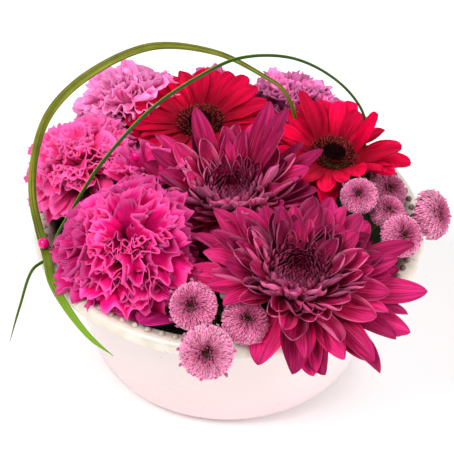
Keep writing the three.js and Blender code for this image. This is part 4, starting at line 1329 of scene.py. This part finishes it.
# The bowl's outline from the middle of its foot, up the outside, over the rim and down the inside.
BOWL_OUTLINE = [
    (0, 0), (59, 0), (63.4, 0.1), (66.4, 0.8), (70, 2.7), (74.4, 6.4), (77.8, 11.6), (80.2, 20), (82.8, 31),
    (86.8, 44), (91.2, 59), (95, 70), (98.2, 77.6), (99.4, 79.8), (101.8, 80.6), (105, 81.2), (107.4, 82.8),
    (109.2, 85), (109.8, 87), (109.4, 89), (108, 91), (106, 91.9), (104, 91.8), (101.8, 91.6), (100.4, 90.9),
    (99, 89), (96.8, 85), (94.4, 81), (91.2, 71), (87, 60), (79, 33), (75.2, 17), (70.5, 12), (62, 8.4),
    (40, 7.3), (0, 6.1),
]
INNER_WALL = 25  # from this point on, not counting the first one, the outline is the inside of the wall, painted dark brown as painted shade
# How strongly the painted shade darkens the inside of the wall.
INNER_SHADE = 4.0
# The stain on top of the rim by radius, and the height from which it begins.
STAIN_AT = [98, 101, 104, 106]
STAIN = [0.6, 1, 0.9, 0]
STAIN_Z = 84


def bowl():
    outline = np.array(BOWL_OUTLINE, float)
    around = 192
    turn = circle(around)
    middle = outline[1:-1]
    count = len(middle)
    points = turned(middle, turn)
    # The wall was turned by hand: it is a little uneven.
    z = points[..., 2]
    uneven = 0.25 * np.sin(3 * turn + z * 0.05) + 0.12 * np.sin(7 * turn - z * 0.09)
    points[..., :2] *= (1 - np.abs(uneven) * smooth(z, 4, 30) / RIM_R)[..., None]
    inside = np.arange(count) >= INNER_WALL
    darkening = np.interp(middle[:, 0], STAIN_AT, STAIN) * (middle[:, 1] > STAIN_Z)
    # The inside of the wall gets painted shade: the second number marks it along with the rim's stains, and
    # the third makes it dark brown.
    place = np.stack([0 * darkening, np.maximum(darkening, inside), INNER_SHADE * inside], -1)
    grid = np.arange(count * around).reshape(count, around)
    after = np.roll(grid, -1, axis=1)
    faces = np.stack([after[:-1], after[1:], grid[1:], grid[:-1]], -1).reshape(-1, 4)
    batch = Batch()
    batch.add(points.reshape(-1, 3), faces, place=np.repeat(place, around, axis=0))
    for row, height, order in ((0, outline[0, 1], 1), (count - 1, outline[-1, 1], -1)):
        hub = batch.count
        batch.add(np.array([[0.0, 0.0, height]]), [])
        batch.faces += [[hub, int(b), int(a)][::order] for a, b in zip(grid[row], after[row])]
    beads(batch)
    piece("bowl_glazed", batch, CERAMIC, "ceramic", "bowl")


def beads(batch):
    """The round beads on the inner edge of the rim, a little uneven in size and stain."""
    for k in range(BEADS):
        turn = 2 * math.pi * (k + 0.5) / BEADS
        spot = (BEAD_RING_R * math.cos(turn), BEAD_RING_R * math.sin(turn), BOWL_H - 0.15)
        ball(batch, spot, BEAD_R * (1 + 0.06 * sway(5, k)), 9, 12, 0.55 + 0.45 * draw(9, k), 1.0)


# ---------------------------------------------------------------- camera, light and floor

ELEVATION = 39.0
DISTANCE = 1.1
LENS = 155.5
SENSOR = 36.0
ROLL = 1.0
FRAME_SIDE = 454
SHIFT_PIXELS = (-2, -10)
SKY = 0.62
LIT_POINT = (0, 0, 0.09)
FLOOR_HALF = 3
FLOOR_Z = -0.0005


def linked(name, data):
    obj = bpy.data.objects.new(name, data)
    bpy.context.scene.collection.objects.link(obj)
    return obj


def camera():
    data = bpy.data.cameras.new("camera")
    data.lens, data.sensor_width = LENS, SENSOR
    data.shift_x, data.shift_y = (pixels / FRAME_SIDE for pixels in SHIFT_PIXELS)
    obj = linked("camera", data)
    rise = math.radians(ELEVATION)
    target = Vector((0, 0, BOWL_H * MM))
    obj.location = target + Vector((0, -math.cos(rise), math.sin(rise))) * DISTANCE
    look = (target - obj.location).to_track_quat("-Z", "Y").to_matrix().to_4x4()
    obj.rotation_euler = (look @ Matrix.Rotation(math.radians(ROLL), 4, "Z")).to_euler()
    bpy.context.scene.camera = obj


def area_light(name, spot, size, watts, tint):
    data = bpy.data.lights.new(name, "AREA")
    data.shape, data.size, data.energy, data.color = "DISK", size, watts, tint
    obj = linked(name, data)
    obj.location = spot
    obj.rotation_euler = (Vector(LIT_POINT) - Vector(spot)).to_track_quat("-Z", "Y").to_euler()


def studio():
    world = bpy.data.worlds.new("studio")
    world.use_nodes = True
    sky = world.node_tree.nodes["Background"].inputs
    sky["Color"].default_value = (1, 1, 1, 1)
    sky["Strength"].default_value = SKY
    bpy.context.scene.world = world
    bpy.context.scene.view_settings.view_transform = "Standard"
    area_light("key", (-0.9, -0.8, 1.5), 0.9, 23, (1, 0.99, 0.97))
    area_light("fill", (1.1, -0.9, 0.8), 1.0, 13, (1, 0.98, 0.98))
    area_light("back", (0.3, 1.2, 1.1), 0.8, 5, (1, 1, 1))
    mesh = bpy.data.meshes.new("floor")
    corners = [(x * FLOOR_HALF, y * FLOOR_HALF, 0) for x, y in ((-1, -1), (1, -1), (1, 1), (-1, 1))]
    mesh.from_pydata(corners, [], [(0, 1, 2, 3)])
    mesh.materials.append(floor_material())
    obj = linked("floor", mesh)
    obj.location.z = FLOOR_Z


# ---------------------------------------------------------------- the whole centerpiece

camera()
studio()

bowl()
for flower in MUMS:
    mum_flower(flower)
    stem_and_cup(flower, 8, 7.5, 3, 30)
for flower in GERBERAS:
    gerbera_flower(flower)
    stem_and_cup(flower, 9, 9, 2.8, 36)
for flower in CARNATIONS:
    carnation_flower(flower)
    stem_and_cup(flower, 11, 5.4, 2.2, 0)
for button in BUTTONS:
    button_flower(button)
for spray in SPRAYS:
    spray_stems(spray)
for row in LEAVES:
    leaf(row, LEAF, "leaf", LEAF_HALVES, 0.5, False)
leaf(TUCKED, TUCKED_LOOK, "mum", TUCKED_HALVES, 0.1, True)
for row in GRASS:
    grass(row)
for row in PINS:
    pin(row)
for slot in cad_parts["foam"].material_slots:
    slot.material = FOAM
